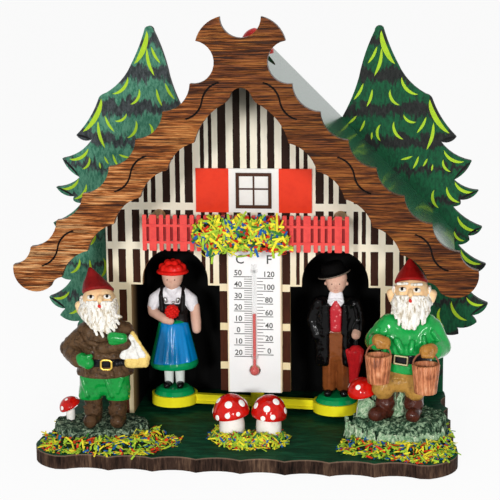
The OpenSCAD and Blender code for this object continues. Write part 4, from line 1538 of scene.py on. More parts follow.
@dataclass
class Man(Figure):
    """Figure in a black coat, red waistcoat and a slanted felt hat."""

    def build(self) -> None:
        """Casts all regions of the figure."""
        panels = both((3.9, -3.1, 13, 1.6), (5.6, -1, 13, 2.3), (5.4, 1.6, 13, 2.6), (3.7, -2.6, 34, 1.6),
            (5.2, 0.2, 34.4, 3.1))
        self.shape("coat", [
            *panels, [(-3.6, 2.4, 13, 2.8), (3.6, 2.4, 13, 2.8), (-4, 1.4, 34.6, 2.6), (4, 1.4, 34.6, 2.6)],
            *both((2.7, -3.6, 24, 0.7), (3.3, -3.4, 34.6, 0.9), (4.2, -3, 31, 0.9)),
            [(6.4, 0, 34.4, 2.8), (8.2, 0.3, 28, 2.5)], [(-6.4, 0, 34.4, 2.8), (-8.9, 0.4, 28, 2.5)],
            [(-8.9, 0.4, 28, 2.5), (-6.9, -1.4, 22.4, 2.2)], [(8.2, 0.3, 28, 2.5), (7.9, -1.8, 25.6, 2.2)]],
            COAT_BLACK, 0.26, 4, trims=[((0, 0, 11), (0, 0, -1))], grain=(0.5, 3.0))
        self.shape("shirt", [[(-1.6, -2.4, 38.6, 1), (1.6, -2.4, 38.6, 1), (-2.5, -3, 35.6, 0.6),
                              (2.5, -3, 35.6, 0.6), (0, -2, 33.4, 1)]], BLOUSE_WHITE, 0.2, 3)
        self.shape("tie", [*both((0.5, -3.5, 37, 0.5), (2.2, -3.4, 36.2, 0.9)), [(0, -3.7, 36.8, 0.6)]],
            BLOUSE_WHITE, 0.16, 2)
        self.shape("waistcoat", [
            [
                (0, -3.2, 36.4, 0.5), (-1.5, -3.4, 33, 0.7), (1.5, -3.4, 33, 0.7), (-1.3, -3.3, 25.2, 0.7),
                (1.3, -3.3, 25.2, 0.7), (0, -1, 30, 2)]], WAISTCOAT, 0.2, 3)
        self.shape("trousers", [
            *both((2.6, 0.2, 3, 2.6), (2.5, 0, 14, 2.7)),
            *both((2.6, -1.9, 3.2, 0.9), (2.4, -2.3, 14, 0.9)),
            [(-2.2, 0, 15, 2.8), (2.2, 0, 15, 2.8), (-2, -0.8, 24, 2.5), (2, -0.8, 24, 2.5)]],
            TROUSER_BROWN, 0.25, 3, trims=[((0, 0, 1.7), (0, 0, -1))], grain=(0.3, 2.4))
        self.shape("skin", [[(0, -0.4, 37, 2.2), (0, -0.4, 40, 2.4)],
                            [(0, -1.4, 39.9, 2.1), (0, -0.8, 42, 3.5), (0, -0.3, 44.2, 4)],
                            [(0, -4, 43, 0.4), (0, -4.3, 41.7, 0.5)], *both((3.7, 0, 42, 0.8)),
                            [(7.8, -2.2, 25.2, 1.6), (7.4, -3.8, 23.6, 1.7)]], SKIN, 0.22, 5)
        self.shape("lips", [[(-0.6, -3.55, 40.1, 0.22), (0.6, -3.55, 40.1, 0.22)]], LIP_SOFT, 0.12, 2)
        self.shape("pupils", both((1.4, -3.95, 42.6, 0.27)), BROW_SOFT, 0.1, 2)
        self.hat()
        self.shape("umbrella", [
            [(7.5, -4.4, 17.2, 2.9), (7.3, -4.3, 14.6, 2.7), (5.8, -4, 5.6, 0.8)],
            *moved(pleats(range(0, 360, 45), (2.6, 2.6, 17.8, 0.9), (0.5, 0.5, 6, 0.5)), (7.0, -4.3, 0)),
            [(5.9, -4, 6, 0.6), (5.6, -4, 2, 0.4)]], UMBRELLA_RED, 0.22, 3)
        self.shape("umbrella_handle", [[(7.4, -4.2, 18.6, 0.8), (7.4, -4.1, 21.8, 0.8)]], BLACK_GLOSS, 0.2,
            3)
        self.shape("shoes", both((2.6, 0.8, 0.9, 1.6), (3, -3, 0.9, 1.5)), BLACK_GLOSS)

    def hat(self) -> None:
        """Turns the hat and sets it at its slant."""
        felt = Bench.lathe([
            (0, 0.3), (5.8, 0.3), (6.0, 0.7), (5.7, 1.0), (4.5, 1.1), (4.2, 3.8), (3.4, 4.7), (0.8, 4.2),
            (0, 4.0)])
        lining = Bench.lathe([(0, -0.1), (5.6, -0.1), (6.15, 0.2), (5.7, 0.55), (0, 0.5)])
        for piece, label, finish in ((felt, "hat", FELT), (lining, "hat_brim", BRIM_GREY)):
            piece.rotation_euler = (0, radians(-15), 0)
            piece.location = (-0.7, 0, 45.3)
            bpy.context.view_layer.update()
            Bench.pick(piece)
            Bench.settle()
            self.add(piece, label, finish)


@dataclass
class Gnome(Figure):
    """Bearded garden gnome; what the two share is kept here.

    Attributes:
        head: Centre of the head.
        skull: Radius of the head.
        tip: Tip of the cap.
        brim: Centre of the cap's brim.
        cap_half: Half-width of the brim.
        beard_tip: Tip of the beard.
        spread: Half-width of the beard's lower edge.
        gaze: Places of the eyes.
        glance: Shift of the pupils in the eyes.
        mouth: Place of the mouth.
        temples: Height of the side hair over the mouth.
        ears: Side, radius and height over the head's centre of each ear that shows.
    """

    head: Point = (0, -1, 45.2)
    skull: float = 6.5
    tip: Point = (0, 0.4, 56.8)
    brim: Point = (0, 0.4, 49)
    cap_half: float = 5.3
    beard_tip: Point = (0, -8.6, 34.5)
    spread: float = 6.0
    gaze: tuple[Point, Point] = ((-3, -7, 48), (3, -7, 48))
    glance: Spot = (0, 0)
    mouth: Point = (0, -8.4, 45)
    temples: float = 2.6
    ears: tuple[Point, ...] = ((-1, 1.5, 0.4), (1, 1.5, 0.4))

    def face(self, cap: Finish) -> None:
        """Casts head, ears, eyes, beard and cap.

        Args:
            cap: Finish of the cap.
        """
        x, y, z = self.head
        r = self.skull
        lip = self.mouth
        ears = [
            [
                (x + side * (r + 0.7), y - 1.2, z + up + 0.9, e),
                (x + side * (r + 0.3), y - 1, z + up - 1.4, e * 0.8)] for side, e, up in self.ears]
        self.shape("head", [[(x, y, z, r), (x, y - 0.3, z + 1.3, r - 0.7)], *ears,
                            *[[(e[0], e[1] + 1.6, e[2] - 2.2, 1.7)] for e in self.gaze],
                            [(lip[0] + 0.1, y - r + 0.2, lip[2] + 2.9, 1.0),
                             (lip[0] + 0.1, y - r - 0.7, lip[2] + 2.1, 1.05)]], GNOME_SKIN, 0.26, 4)
        self.watch()
        self.shape("mouth",
            [[(lip[0] - 0.15, lip[1], lip[2], 0.6), (lip[0] + 0.15, lip[1], lip[2] - 0.15, 0.6)]], LIP_RED,
            0.14, 2)
        self.shape("beard", self.beard(), BEARD_WHITE, 0.2, 2, grain=(0.4, 0.9))
        lean = (self.tip[0] - self.brim[0]) / (self.tip[2] - self.brim[2])
        rim = [(cx, cy, cz - 0.42 * lean * (cx - self.brim[0]), b)
               for cx, cy, cz, b in ring(self.brim, (self.cap_half - 0.5, 6.2), 0.55, 20, 2.6)]
        low = ring(mix_points(self.brim, self.tip, 0.34), (0.64 * self.cap_half, 4.2), 0.8, 16, 0.5)
        high = ring(mix_points(self.brim, self.tip, 0.64), (0.32 * self.cap_half, 2.0), 0.9, 12)
        self.shape("cap", [[*rim, *low, *high], [*high, (*self.tip, 0.75)]], cap, 0.26, 3, grain=(0.3, 4))

    def watch(self) -> None:
        """Sets whites and dark pupils, with a thin lid line over each eye."""
        whites = [[(x - 0.55, y, z - 0.1, 0.85), (x + 0.55, y, z - 0.1, 0.85)] for x, y, z in self.gaze]
        dx, dz = self.glance
        pupils = [[(x + dx, y - 0.55, z + dz, 0.6)] for x, y, z in self.gaze]
        lids = [
            [
                (x - 1.1, y - 0.2, z + 0.4, 0.12), (x, y - 0.55, z + 0.85, 0.14),
                (x + 1.1, y - 0.2, z + 0.4, 0.12)] for x, y, z in self.gaze]
        self.shape("eye_whites", whites, EYE_WHITE, 0.12, 2)
        self.shape("pupils", pupils, BLACK_GLOSS, 0.1, 1)
        self.shape("lids", [pair for lid in lids for pair in (lid[:2], lid[1:])], HAIR_DARK, 0.09, 1)

    def beard(self) -> list[Limb]:
        """Combs the strands of beard, moustache and side hair.

        Returns:
            The strands.
        """
        x, y, z = self.head
        r = self.skull
        tip = self.beard_tip
        lip = self.mouth
        limbs: list[Limb] = [
            [
                (x - 3.6, y - 2.4, z - 2.6, 3.4), (x + 3.6, y - 2.4, z - 2.6, 3.4),
                (tip[0] - 2, tip[1] + 2.6, tip[2] + 5, 1.8), (tip[0] + 2, tip[1] + 2.6, tip[2] + 5, 1.8)]]
        shift = random.Random(self.name)
        count = 14
        for layer in range(2):
            for i in range(count):
                u = (2 * i + layer) / count - 1
                bulge = 1 - u * u
                top = (
                    x + (r - 0.4) * u, y - 1.2 - (r - 1.2) * bulge,
                    lip[2] - 1.0 + 2.6 * u * u - 2.2 * layer, 0.75)
                middle = (
                    x + (r - 0.1) * u + shift.uniform(-0.5, 0.5), y - 2.6 - (r - 1.4) * bulge + 0.3 * layer,
                    lip[2] - 5.2 + 1.4 * u * u + shift.uniform(-0.5, 0.5), 0.8)
                low = (tip[0] + self.spread * u + shift.uniform(-0.5, 0.5), tip[1] + 2.6 * u * u,
                       tip[2] + 0.3 + 5.4 * abs(u) ** 1.7 + shift.uniform(-0.5, 0.9) + 1.6 * layer, 0.5)
                limbs += [[top, middle], [middle, low]]
        for side in (-1, 1):
            for k in range(5):
                limbs.append([(lip[0] + 0.9 * side, lip[1] + 0.2, lip[2] + 1.2 - 0.45 * k, 0.6),
                              (lip[0] + (4.8 - 0.5 * k) * side, lip[1] + 1.9, lip[2] + 0.9 - 1.0 * k, 0.5)])
            for k in range(3):
                limbs.append([(x + (r - 0.3) * side, y - 2 + k, lip[2] + self.temples, 0.55),
                              (x + (r + 0.2) * side, y - 1.6 + k, lip[2] - 2.4, 0.7)])
        return limbs

    @staticmethod
    def legs(x: float, toe: float, wide: float) -> dict[str, list[Limb]]:
        """Returns the boot and the breeches of one leg.

        Args:
            x: Place of the ankle.
            toe: Place of the toe across.
            wide: Factor on the width of the boot.

        Returns:
            The limbs of both, by name.
        """
        return {
            "boots": [
                [(x, 0.6, 2.2, 2.9 * wide), (toe, -4.4, 2.0, 2.5 * wide)],
                [(x, 0.5, 4, 3.0 * wide), (x, 0.3, 9.5, 3.2 * wide)], [(x, -0.4, 5.2, 3.3 * wide)],
                [(x - 2.6, -1.6, 6.4, 0.7), (x + 2.6, -1.8, 6.2, 0.7)]], "breeches": [
                    [(1.1 * x, -0.4, 12.6, 4.4), (0.92 * x, 0, 18, 5)],
                    [(1.1 * x - 2, -2.4, 11, 2.2), (x, -2, 16, 2.6)],
                    [(1.1 * x + 2, -2.2, 11.4, 2.2), (x, -2, 16, 2.6)]]}


@dataclass
class LeftGnome(Gnome):
    """Gnome with a sack, in a brown coat and green breeches."""

    def build(self) -> None:
        """Casts all regions of the figure."""
        left, right = self.legs(-4.9, -5.3, 1.0), self.legs(4.0, 4.4, 1.0)
        hem = ring((-0.3, 0.4, 19.4), (9.6, 8.1), 0.8, 22)
        creases = [
            [(-9.4, -5, 31.6, 0.7), (-4, -6.4, 29.4, 0.8)], [(-4, -6.6, 31.6, 0.8), (4, -7.4, 29.2, 0.9)],
            [(-14, -3.6, 27, 0.7), (-10.4, -6.2, 28.6, 0.7)],
            [(-6.2, -6.6, 22, 0.7), (-5.6, -7.4, 19.8, 0.8)], [(3, -6.9, 22, 0.7), (3.8, -8, 19.8, 0.8)],
            [(-9, -4.4, 34.4, 0.8), (-6.4, -5.2, 31, 0.8)]]
        self.shape("coat", [
            [*ring((-0.3, 0.4, 19.8), (8.8, 7.3), 1.4, 16), *ring((-0.2, 0.4, 24), (7.6, 6.6), 1.4, 16)],
            [*ring((0, 0.2, 24), (7.6, 6.6), 1.5, 16), (-5.4, 0, 33.6, 4.3), (5, 0, 34.2, 4.2)],
            [(-7, 0, 33, 4), (-12.6, -0.8, 27.6, 3.6)], [(-12.6, -0.8, 27.6, 3.6), (-8.2, -7, 25.2, 2.8)],
            [(6.6, 0, 34, 4), (9.6, -3, 31, 3.4)], [(9.6, -3, 31, 3.4), (8.2, -7.2, 31.4, 2.9)],
            [(7.8, -6.6, 31, 2.6), (0, -6.6, 29.6, 2.0)], *closed(hem), *creases], COAT_BROWN, 0.28, 2,
            trims=[((0, 0, 18.7), (0, 0, -1))], grain=(0.9, 2.6))
        self.shape("breeches", [
            *left["breeches"], *right["breeches"], [(-4.6, 0, 17, 4.4), (3.4, 0, 17, 4.4)],
            [(-3.4, -0.6, 13.6, 3.2), (2.4, -0.6, 13.6, 3.2)],
            [(-5.6, -0.4, 11.4, 4.4), (-5.6, -0.4, 10.8, 4.4)],
            [(4.5, -0.4, 11.4, 4.3), (4.5, -0.4, 10.8, 4.3)],
            [(-8.2, -3.4, 18, 0.8), (-5.8, -4.6, 11.6, 0.9)], [(-4, -4.4, 18, 0.7), (-6.6, -4.4, 14, 0.7)],
            [(1.0, -4.4, 17.6, 0.8), (3.0, -4.6, 11.6, 0.9)], [(6.8, -3.6, 18, 0.7), (5.0, -4.4, 13, 0.8)]],
            GLOSS_GREEN, 0.28, 3, trims=[((0, 0, 9.7), (0, 0, -1))], grain=(0.5, 3.0))
        self.shape("boots", [*left["boots"], *right["boots"]], BOOT_BROWN, 0.26, 2, grain=(0.8, 2.2))
        lumps = [[(2.6 + 1.5 * k, -8.3 + 0.35 * k, 24.3 + 0.3 * (k % 2), 1.15)] for k in range(2, 5)]
        self.shape("belt", [
            ring((-0.1, 0.1, 23.3), (8.8, 7.8), 0.45, 20) + ring((-0.1, 0.1, 25.2), (8.8, 7.8), 0.45, 20),
            *lumps], BELT_BLACK, 0.25, 2)
        corners = [
            (0.1, 23.0), (0.8, 22.4), (3.2, 22.4), (3.9, 23.0), (3.9, 25.2), (3.2, 25.8), (0.8, 25.8),
            (0.1, 25.2)]
        self.shape("buckle", closed([(x, -8.8, z, 0.42) for x, z in corners]), BUCKLE_GOLD, 0.13, 2)
        self.shape("mittens", [
            [(-6.8, -8, 25.8, 2.4), (-4.4, -8.8, 24.6, 2.2)],
            [(-5, -8.8, 26.6, 1.1), (-3.4, -8.9, 27.2, 0.8)],
            [(8, -8.8, 33.9, 1.9), (4.6, -9.8, 34.4, 1.9)], [(8, -9, 33, 1.2), (4.4, -10, 32.8, 1.2)],
            [(7.4, -9.4, 35.2, 0.9), (4.6, -10.2, 35.6, 0.9)]], GLOSS_GREEN, 0.22, 2, grain=(0.4, 1.8))
        self.shape("sack", [
            [(10.8, -6.6, 34, 1), (8, -8.4, 27.4, 1.3), (15, -6.9, 27.2, 1.3), (11.6, -5.6, 30, 2)],
            [(9.4, -8.6, 32.4, 0.6), (8.6, -9, 27, 0.8)], [(11.4, -8, 32.4, 0.6), (13, -8.4, 27, 0.8)]],
            SACK_WHITE, 0.22, 2, grain=(0.8, 1.9))
        self.shape("sack_cloth", [[(10, -7.8, 24.6, 1.6), (15.4, -6.8, 24.4, 1.6), (15.9, -6.6, 26.4, 1.3),
                                   (9.8, -7.6, 26.2, 1.5)], [(11.2, -6.3, 35, 0.9), (16.3, -6.6, 26.6, 1)]],
                   SACK_YELLOW, 0.22, 2, grain=(0.7, 1.9))
        self.face(CAP_MAROON)


@dataclass
class RightGnome(Gnome):
    """Gnome with two buckets, in a green coat and tan breeches."""

    def build(self) -> None:
        """Casts all regions of the figure."""
        left, right = self.legs(-4.4, -7.6, 1.1), self.legs(5.6, 5.4, 1.08)
        creases = [
            [(-7, -4.6, 33, 0.8), (-9.4, -5, 29, 0.8)], [(-3.4, -6.2, 31, 0.8), (-4.4, -7, 26, 0.8)],
            [(12, -5, 32.4, 0.8), (15.8, -5, 27, 0.9)], [(9, -6.2, 31, 0.8), (9.4, -7.2, 27.6, 0.8)],
            [(-0.4, -7, 29.6, 1.2), (1.4, -7.6, 26.2, 1.3)], [(5, -7.2, 29.4, 1), (4.6, -7.8, 26.4, 1.2)]]
        self.shape("coat", [
            [*ring((2.4, 0.4, 18.6), (8.2, 7), 1.4, 16), *ring((2.6, 0.4, 24), (7.4, 6.6), 1.4, 16)],
            [*ring((2.6, 0.2, 24), (7.4, 6.6), 1.5, 16), (-2.8, 0, 33.4, 4.2), (9.8, 0, 33.6, 4.3)],
            [(-4.2, 0, 32.4, 4.0), (-8, -2.2, 28.4, 3.7)], [(-8, -2.2, 28.4, 3.7), (-7, -8, 29.2, 2.9)],
            [(11.2, 0, 32.6, 4.2), (14.8, -2, 26.4, 3.7)], [(14.8, -2, 26.4, 3.7), (12.8, -7.6, 26.2, 2.9)],
            [(2, -5.4, 25.8, 2.6), (4.4, -5.4, 26, 2.6)], *creases], COAT_GREEN, 0.28, 3,
            trims=[((2.4, 0, 17.7), (-0.16, 0, -1))], grain=(0.5, 3.6))
        self.shape("breeches", [
            *left["breeches"], *right["breeches"], [(-4, 0, 17, 4.2), (4.6, 0, 17, 4.2)],
            [(-3.2, -1.2, 13, 3.4), (4.6, -1.2, 12.6, 3.4)], [(-5, -1.4, 10.8, 4), (-4.8, -0.6, 13, 4.4)],
            [(6.2, -1.2, 10.4, 4), (6, -0.6, 13, 4.4)]], TAN, 0.28, 2, trims=[((0, 0, 7.2), (0, 0, -1))],
            grain=(0.9, 2.8))
        self.shape("boots", [*left["boots"], *right["boots"]], BOOT_DARK, 0.26, 2, grain=(0.5, 2.6))
        self.shape("belt",
            [ring((2.6, 0.1, 21.8), (8.8, 7.7), 0.5, 20) + ring((2.6, 0.1, 24.2), (8.8, 7.7), 0.5, 20)],
            BELT_BLACK, 0.25, 2)
        corners = [(-1.2, 21.9), (3.3, 21.2), (3.5, 24.1), (-1.0, 24.7)]
        self.shape("buckle", closed([(x, -8.5, z, 0.42) for x, z in corners]), BUCKLE_DULL, 0.13, 2)
        fingers = [
            [(-7.4 + 1.2 * k, -11.6, 31.2 - 0.4 * k, 0.8), (-6.6 + 1.1 * k, -12.2, 28.6, 0.75)]
            for k in range(4)]
        fingers += [
            [(8.6 + 1.2 * k, -11.6, 28.2 - 0.1 * k, 0.8), (8.8 + 1.1 * k, -12.2, 25.6, 0.75)]
            for k in range(4)]
        self.shape("hands", [
            [(-6.6, -10.2, 30.4, 2.3), (-4.4, -10.8, 29.8, 2.2)],
            [(11.6, -10, 27.4, 2.3), (9.6, -10.8, 27.2, 2.2)], *fingers], OCHRE, 0.22, 2, grain=(0.3, 1.6))
        self.bucket("left_bucket", (-6.5, -11.2, 15.6), 3.5, 4.5, 10, 4.6)
        self.bucket("right_bucket", (9.8, -11.2, 12.3), 3.6, 4.7, 10.3, 4.6)
        self.face(CAP_RED_DARK)
        brows = [
            [(e[0] - 1.7, e[1] - 0.1, e[2] + 1.9, 0.5), (e[0] + 1.5, e[1] - 0.2, e[2] + 2.1, 0.55)]
            for e in self.gaze]
        self.shape("brows", brows, BEARD_WHITE, 0.15, 1)

    def bucket(self, label: str, foot: Point, low: float, high: float, height: float, bail: float) -> None:
        """Coopers a bucket of staves and bends its bail.

        Args:
            label: Name of the bucket.
            foot: Middle of its bottom.
            low: Radius at the bottom.
            high: Radius at the rim.
            height: Height of the staves.
            bail: Rise of the bail over the rim.
        """
        piece = Bench.lathe(
            [(0, 0), (low, 0), (high, height), (high - 0.6, height), (low - 0.4, 2.5), (0, 2.5)], foot, 14)
        Bench.edit(piece)
        bpy.ops.mesh.select_all(action="DESELECT")
        Bench.close()
        for face in piece.data.polygons:
            out = Vector((face.center.x - foot[0], face.center.y - foot[1], 0))
            face.select = abs(face.normal.z) < 0.5 and face.normal.dot(out) > 0
        bpy.ops.object.mode_set(mode="EDIT")
        bpy.ops.mesh.inset(thickness=0.18, depth=0.3, use_individual=True)
        Bench.close()
        self.add(piece, label, STAVES)
        rim = foot[2] + height
        posts = [(cos(pi * i / 8), sin(pi * i / 8)) for i in range(9)]
        beads = [(foot[0] + c * (high - 0.2), foot[1], rim - 0.4 + s * bail, 0.32) for c, s in posts]
        self.shape(label + "_bail", [[a, b] for a, b in zip(beads, beads[1:])], BAIL_BROWN, 0.14, 2)


@dataclass
class Toadstool:
    """A toadstool with a glossy spotted cap.

    Attributes:
        name: Name of its pieces.
        stem_node: Node of the stem, where this toadstool stands for it.
        cap_node: Node of the cap, where this toadstool stands for it.
        at: Foot of the stem.
        stem: Height and radius of the stem.
        cap: Radius and height of the cap.
        lean: Lean of the cap to the right and to the front, in degrees.
        tilt: Lean of the stem to the right, in degrees.
        spots: Each spot's turn from the front, its height angle and its size.
    """

    name: str
    stem_node: tuple[str, ...]
    cap_node: tuple[str, ...]
    at: Point
    stem: Spot
    cap: Spot
    lean: Spot
    spots: tuple[Point, ...]
    tilt: float = 0.0

    def build(self) -> None:
        """Turns stem and cap and lays the spots on."""
        height, radius = self.stem
        stem = Bench.lathe([(0, -0.6), (radius * 0.86, -0.6), (radius * 0.98, height * 0.25),
                            (radius * 1.04, height * 0.55), (radius * 0.98, height * 0.85),
                            (radius * 0.8, height + 0.8), (0, height + 0.8)], (0, 0, 0), 32)
        Bench.modify(stem, "SUBSURF", levels=2, render_levels=2)
        Bench.roughen(stem, 0.25, 3)
        stem.rotation_euler = (0, radians(self.tilt), 0)
        stem.location = self.at
        Bench.settle()
        Bench.hand_over(stem, self.name + "_stem", Body.HOUSE, "stem_white", STEM_WHITE, self.stem_node)
        wide, tall = self.cap
        cap = Bench.lathe(
            [
                (0, 0.5), (wide * 0.6, 0.45), (wide * 0.93, 0), (wide, 0.1 * tall),
                (wide * 0.97, 0.3 * tall), (wide * 0.84, 0.58 * tall), (wide * 0.6, 0.82 * tall),
                (wide * 0.3, 0.96 * tall), (0, tall)], (0, 0, 0), 40)
        Bench.modify(cap, "SUBSURF", levels=1, render_levels=1)
        self.place(cap)
        Bench.hand_over(cap, self.name + "_cap", Body.HOUSE, "cap_red", CAP_RED, self.cap_node)
        dots = Bench.join([self.spot(*spot) for spot in self.spots])
        self.place(dots)
        Bench.hand_over(dots, self.name + "_spots", Body.HOUSE, "stem_white", SPOT_WHITE)

    def spot(self, turn: float, up: float, size: float) -> Piece:
        """Lays one raised spot on the upright cap.

        Args:
            turn: Angle round the cap.
            up: Angle up the cap.
            size: Radius.

        Returns:
            The spot.
        """
        wide, tall = self.cap
        across, rise = cos(radians(up)), sin(radians(up))
        out = (sin(radians(turn)), -cos(radians(turn)))
        Bench.clear()
        bpy.ops.mesh.primitive_uv_sphere_add(segments=20, ring_count=8, radius=size)
        piece = bpy.context.object
        piece.scale = (1, 1, 0.22)
        normal = Vector((out[0] * across * tall, out[1] * across * tall, rise * wide)).normalized()
        piece.rotation_euler = normal.to_track_quat("Z", "Y").to_euler()
        piece.location = (out[0] * across * wide * 0.99, out[1] * across * wide * 0.99, rise * tall * 0.99)
        Bench.settle()
        return piece

    def place(self, piece: Piece) -> None:
        """Tips a piece of the cap to its lean and sets it on the stem.

        Args:
            piece: Cap or spots.
        """
        Bench.pick(piece)
        piece.rotation_euler = (radians(self.lean[1]), radians(self.lean[0]), 0)
        tilt = radians(self.tilt)
        piece.location = (
            self.at[0] + sin(tilt) * self.stem[0], self.at[1], self.at[2] + cos(tilt) * self.stem[0])
        Bench.settle()


def within(spot: Spot, outline: Sequence[Spot]) -> bool:
    """Tells whether a spot lies inside a closed outline.

    Args:
        spot: Spot to look at.
        outline: Corners of the outline.

    Returns:
        True inside.
    """
    x, y = spot
    crossings = 0
    for (ax, ay), (bx, by) in zip(outline, [*outline[1:], outline[0]]):
        if (ay > y) != (by > y) and x < ax + (y - ay) / (by - ay) * (bx - ax):
            crossings += 1
    return crossings % 2 == 1


@dataclass
class Shavings:
    """Coloured shavings that are strewn over a bed or a clump.

    Attributes:
        name: Name of the pieces.
        node: Node that they stand for.
        slot: Material slot of the record.
        count: Number of strips.
        spread: Outline on the lawn that they are strewn over; empty for the whole mat.
        ground: Other nodes that they come to lie on.
        lumps: Limbs that the mat is cast from; empty for the node's own form.
        rays: Directions from which the strips fall.
        seed: Seed of the strewing.
        long: Share of long strips.
        bright: Factor on the share of red and blue strips.
        loose: How far the strips stand off the ground.
        scale: Factor on the size of the strips.
        pivot: Axis of the beam, whose trays stay clear.
        swing: Radius that the trays sweep.
        hub_half: Half-width of the strip before the hub that no tray reaches.
        miss: What a strip that falls beside the bed counts for.
        steep: Least upward lean of the ground that holds a strip.
        fall: How far away a strip starts to fall.
        strips: Length, width and bend of each kind of strip.
        short_mix: Share of each kind among the short tints.
    """

    name: str
    node: str
    slot: str
    count: int
    spread: tuple[Spot, ...] = ()
    ground: tuple[str, ...] = ()
    lumps: tuple[Limb, ...] = ()
    rays: tuple[Point, ...] = ((0, 0, -1),)
    seed: int = 7
    long: float = 1.4
    bright: float = 1.0
    loose: float = 0.9
    scale: float = 1.0
    pivot: Spot = (0, 9.4)
    swing: float = 43.5
    hub_half: float = 18.0
    miss: float = 0.25
    steep: float = 0.15
    fall: float = 60.0
    strips: tuple[Point, ...] = ((2.2, 0.7, 0.4), (3.2, 0.62, 0.7), (1.4, 0.8, 0.2), (5.0, 0.62, 0.9))
    short_mix: tuple[int, ...] = (4, 1, 7, 0)

    def build(self) -> None:
        """Makes the mat and strews the strips on it."""
        mat = self.mat()
        ground = self.catch(mat)
        points = [vertex.co for vertex in mat.data.vertices]
        low = [min(p[i] for p in points) for i in range(3)]
        high = [max(p[i] for p in points) for i in range(3)]
        for axis in range(2 if self.spread else 0):
            low[axis] = min(spot[axis] for spot in self.spread)
            high[axis] = max(spot[axis] for spot in self.spread)
        dice = random.Random(self.seed)
        weights = [w * (self.bright if t.label in SHORT_TINTS else 1) for t, w in SHAVING_TINTS]
        shapes = [self.strip(*(size * self.scale for size in sizes)) for sizes in self.strips]
        heaps: dict[Finish, list[Piece]] = {tint: [] for tint, _ in SHAVING_TINTS}
        dropped = 0
        while dropped < self.count:
            ray = Vector(dice.choice(self.rays))
            spot = Vector([dice.uniform(a, b) for a, b in zip(low, high)])
            dropped += self.miss if self.spread else 1
            if not self.clear_of_trays(spot):
                continue
            hit, normal, _, _ = ground.ray_cast(spot - ray * self.fall, ray)
            if hit is None or (self.spread and normal.z < self.steep):
                continue
            dropped += 1 - self.miss if self.spread else 0
            tint = dice.choices([t for t, _ in SHAVING_TINTS], weights)[0]
            short = tint.label in SHORT_TINTS
            shape = dice.choices(shapes, self.short_mix if short else (5, 5, 3, self.long))[0]
            heaps[tint].append(self.strew(shape, hit + normal * dice.uniform(0, self.loose), normal, dice))
        Bench.hand_over(mat, self.name + "_mat", Body.HOUSE, self.slot, MAT_GREEN, (self.node,))
        for tint, heap in heaps.items():
            Bench.hand_over(Bench.join(heap), f"{self.name}_{tint.label}", Body.HOUSE, self.slot, tint)
        for shape in shapes:
            bpy.data.objects.remove(shape)

    def clear_of_trays(self, spot: Vector) -> bool:
        """Tells whether a strip may fall here: inside the outline and out of the trays' way.

        Args:
            spot: Where the strip would fall.

        Returns:
            True where it may.
        """
        if not self.spread:
            return True
        away = hypot(spot.x - self.pivot[0], spot.y - self.pivot[1])
        return within((spot.x, spot.y), self.spread) and (away > self.swing or abs(spot.x) < self.hub_half)

    def mat(self) -> Piece:
        """Makes the dark mat under the strips.

        Returns:
            The mat.
        """
        if self.lumps:
            piece = Bench.cast(self.lumps, 0.5, 2)
        else:
            piece = Bench.copy_node(self.node)
            Bench.melt(piece, 0.5, 2)
        Bench.modify(piece, "DISPLACE", strength=-0.4, mid_level=0.0)
        Bench.roughen(piece, 0.9, 2.2)
        return piece

    def catch(self, mat: Piece) -> BVHTree:
        """Returns what the strips fall on: the mat and the other ground.

        Args:
            mat: Mat of the bed.

        Returns:
            Tree of their faces.
        """
        pieces = [mat] + [Bench.copy_node(node) for node in self.ground]
        points: list[Vector] = []
        faces: list[list[int]] = []
        for piece in pieces:
            start = len(points)
            points += [vertex.co.copy() for vertex in piece.data.vertices]
            faces += [[start + i for i in face.vertices] for face in piece.data.polygons]
        for piece in pieces[1:]:
            bpy.data.objects.remove(piece)
        return BVHTree.FromPolygons(points, faces)

    @staticmethod
    def strip(length: float, width: float, bend: float) -> Piece:
        """Planes one curled strip that lies along X.

        Args:
            length: Length.
            width: Width.
            bend: Height of the curl.

        Returns:
            The strip.
        """
        Bench.clear()
        bpy.ops.mesh.primitive_grid_add(x_subdivisions=4, y_subdivisions=1, size=1)
        piece = bpy.context.object
        piece.scale = (length, width, 1)
        Bench.settle()
        for vertex in piece.data.vertices:
            share = vertex.co.x / length
            vertex.co.z = bend * (0.25 - share * share) + 0.12 * share
            vertex.co.y *= 1 - 0.5 * abs(share)
        Bench.modify(piece, "SOLIDIFY", thickness=0.16)
        return piece

    @staticmethod
    def strew(shape: Piece, place: Vector, normal: Vector, dice: random.Random) -> Piece:
        """Drops a copy of a strip.

        Args:
            shape: Strip that is copied.
            place: Place of its middle.
            normal: Outward direction there.
            dice: Source of the random turns.

        Returns:
            The copy.
        """
        piece = bpy.data.objects.new("strip", shape.data.copy())
        bpy.context.scene.collection.objects.link(piece)
        tip = normal + Vector([dice.gauss(0, 0.4) for _ in range(3)])
        turn = tip.to_track_quat("Z", "Y").to_matrix().to_4x4()
        spin = Matrix.Rotation(dice.uniform(0, tau), 4, "Z")
        size = Matrix.Scale(dice.uniform(0.75, 1.25), 4)
        piece.data.transform(Matrix.Translation(place) @ turn @ spin @ size)
        return piece


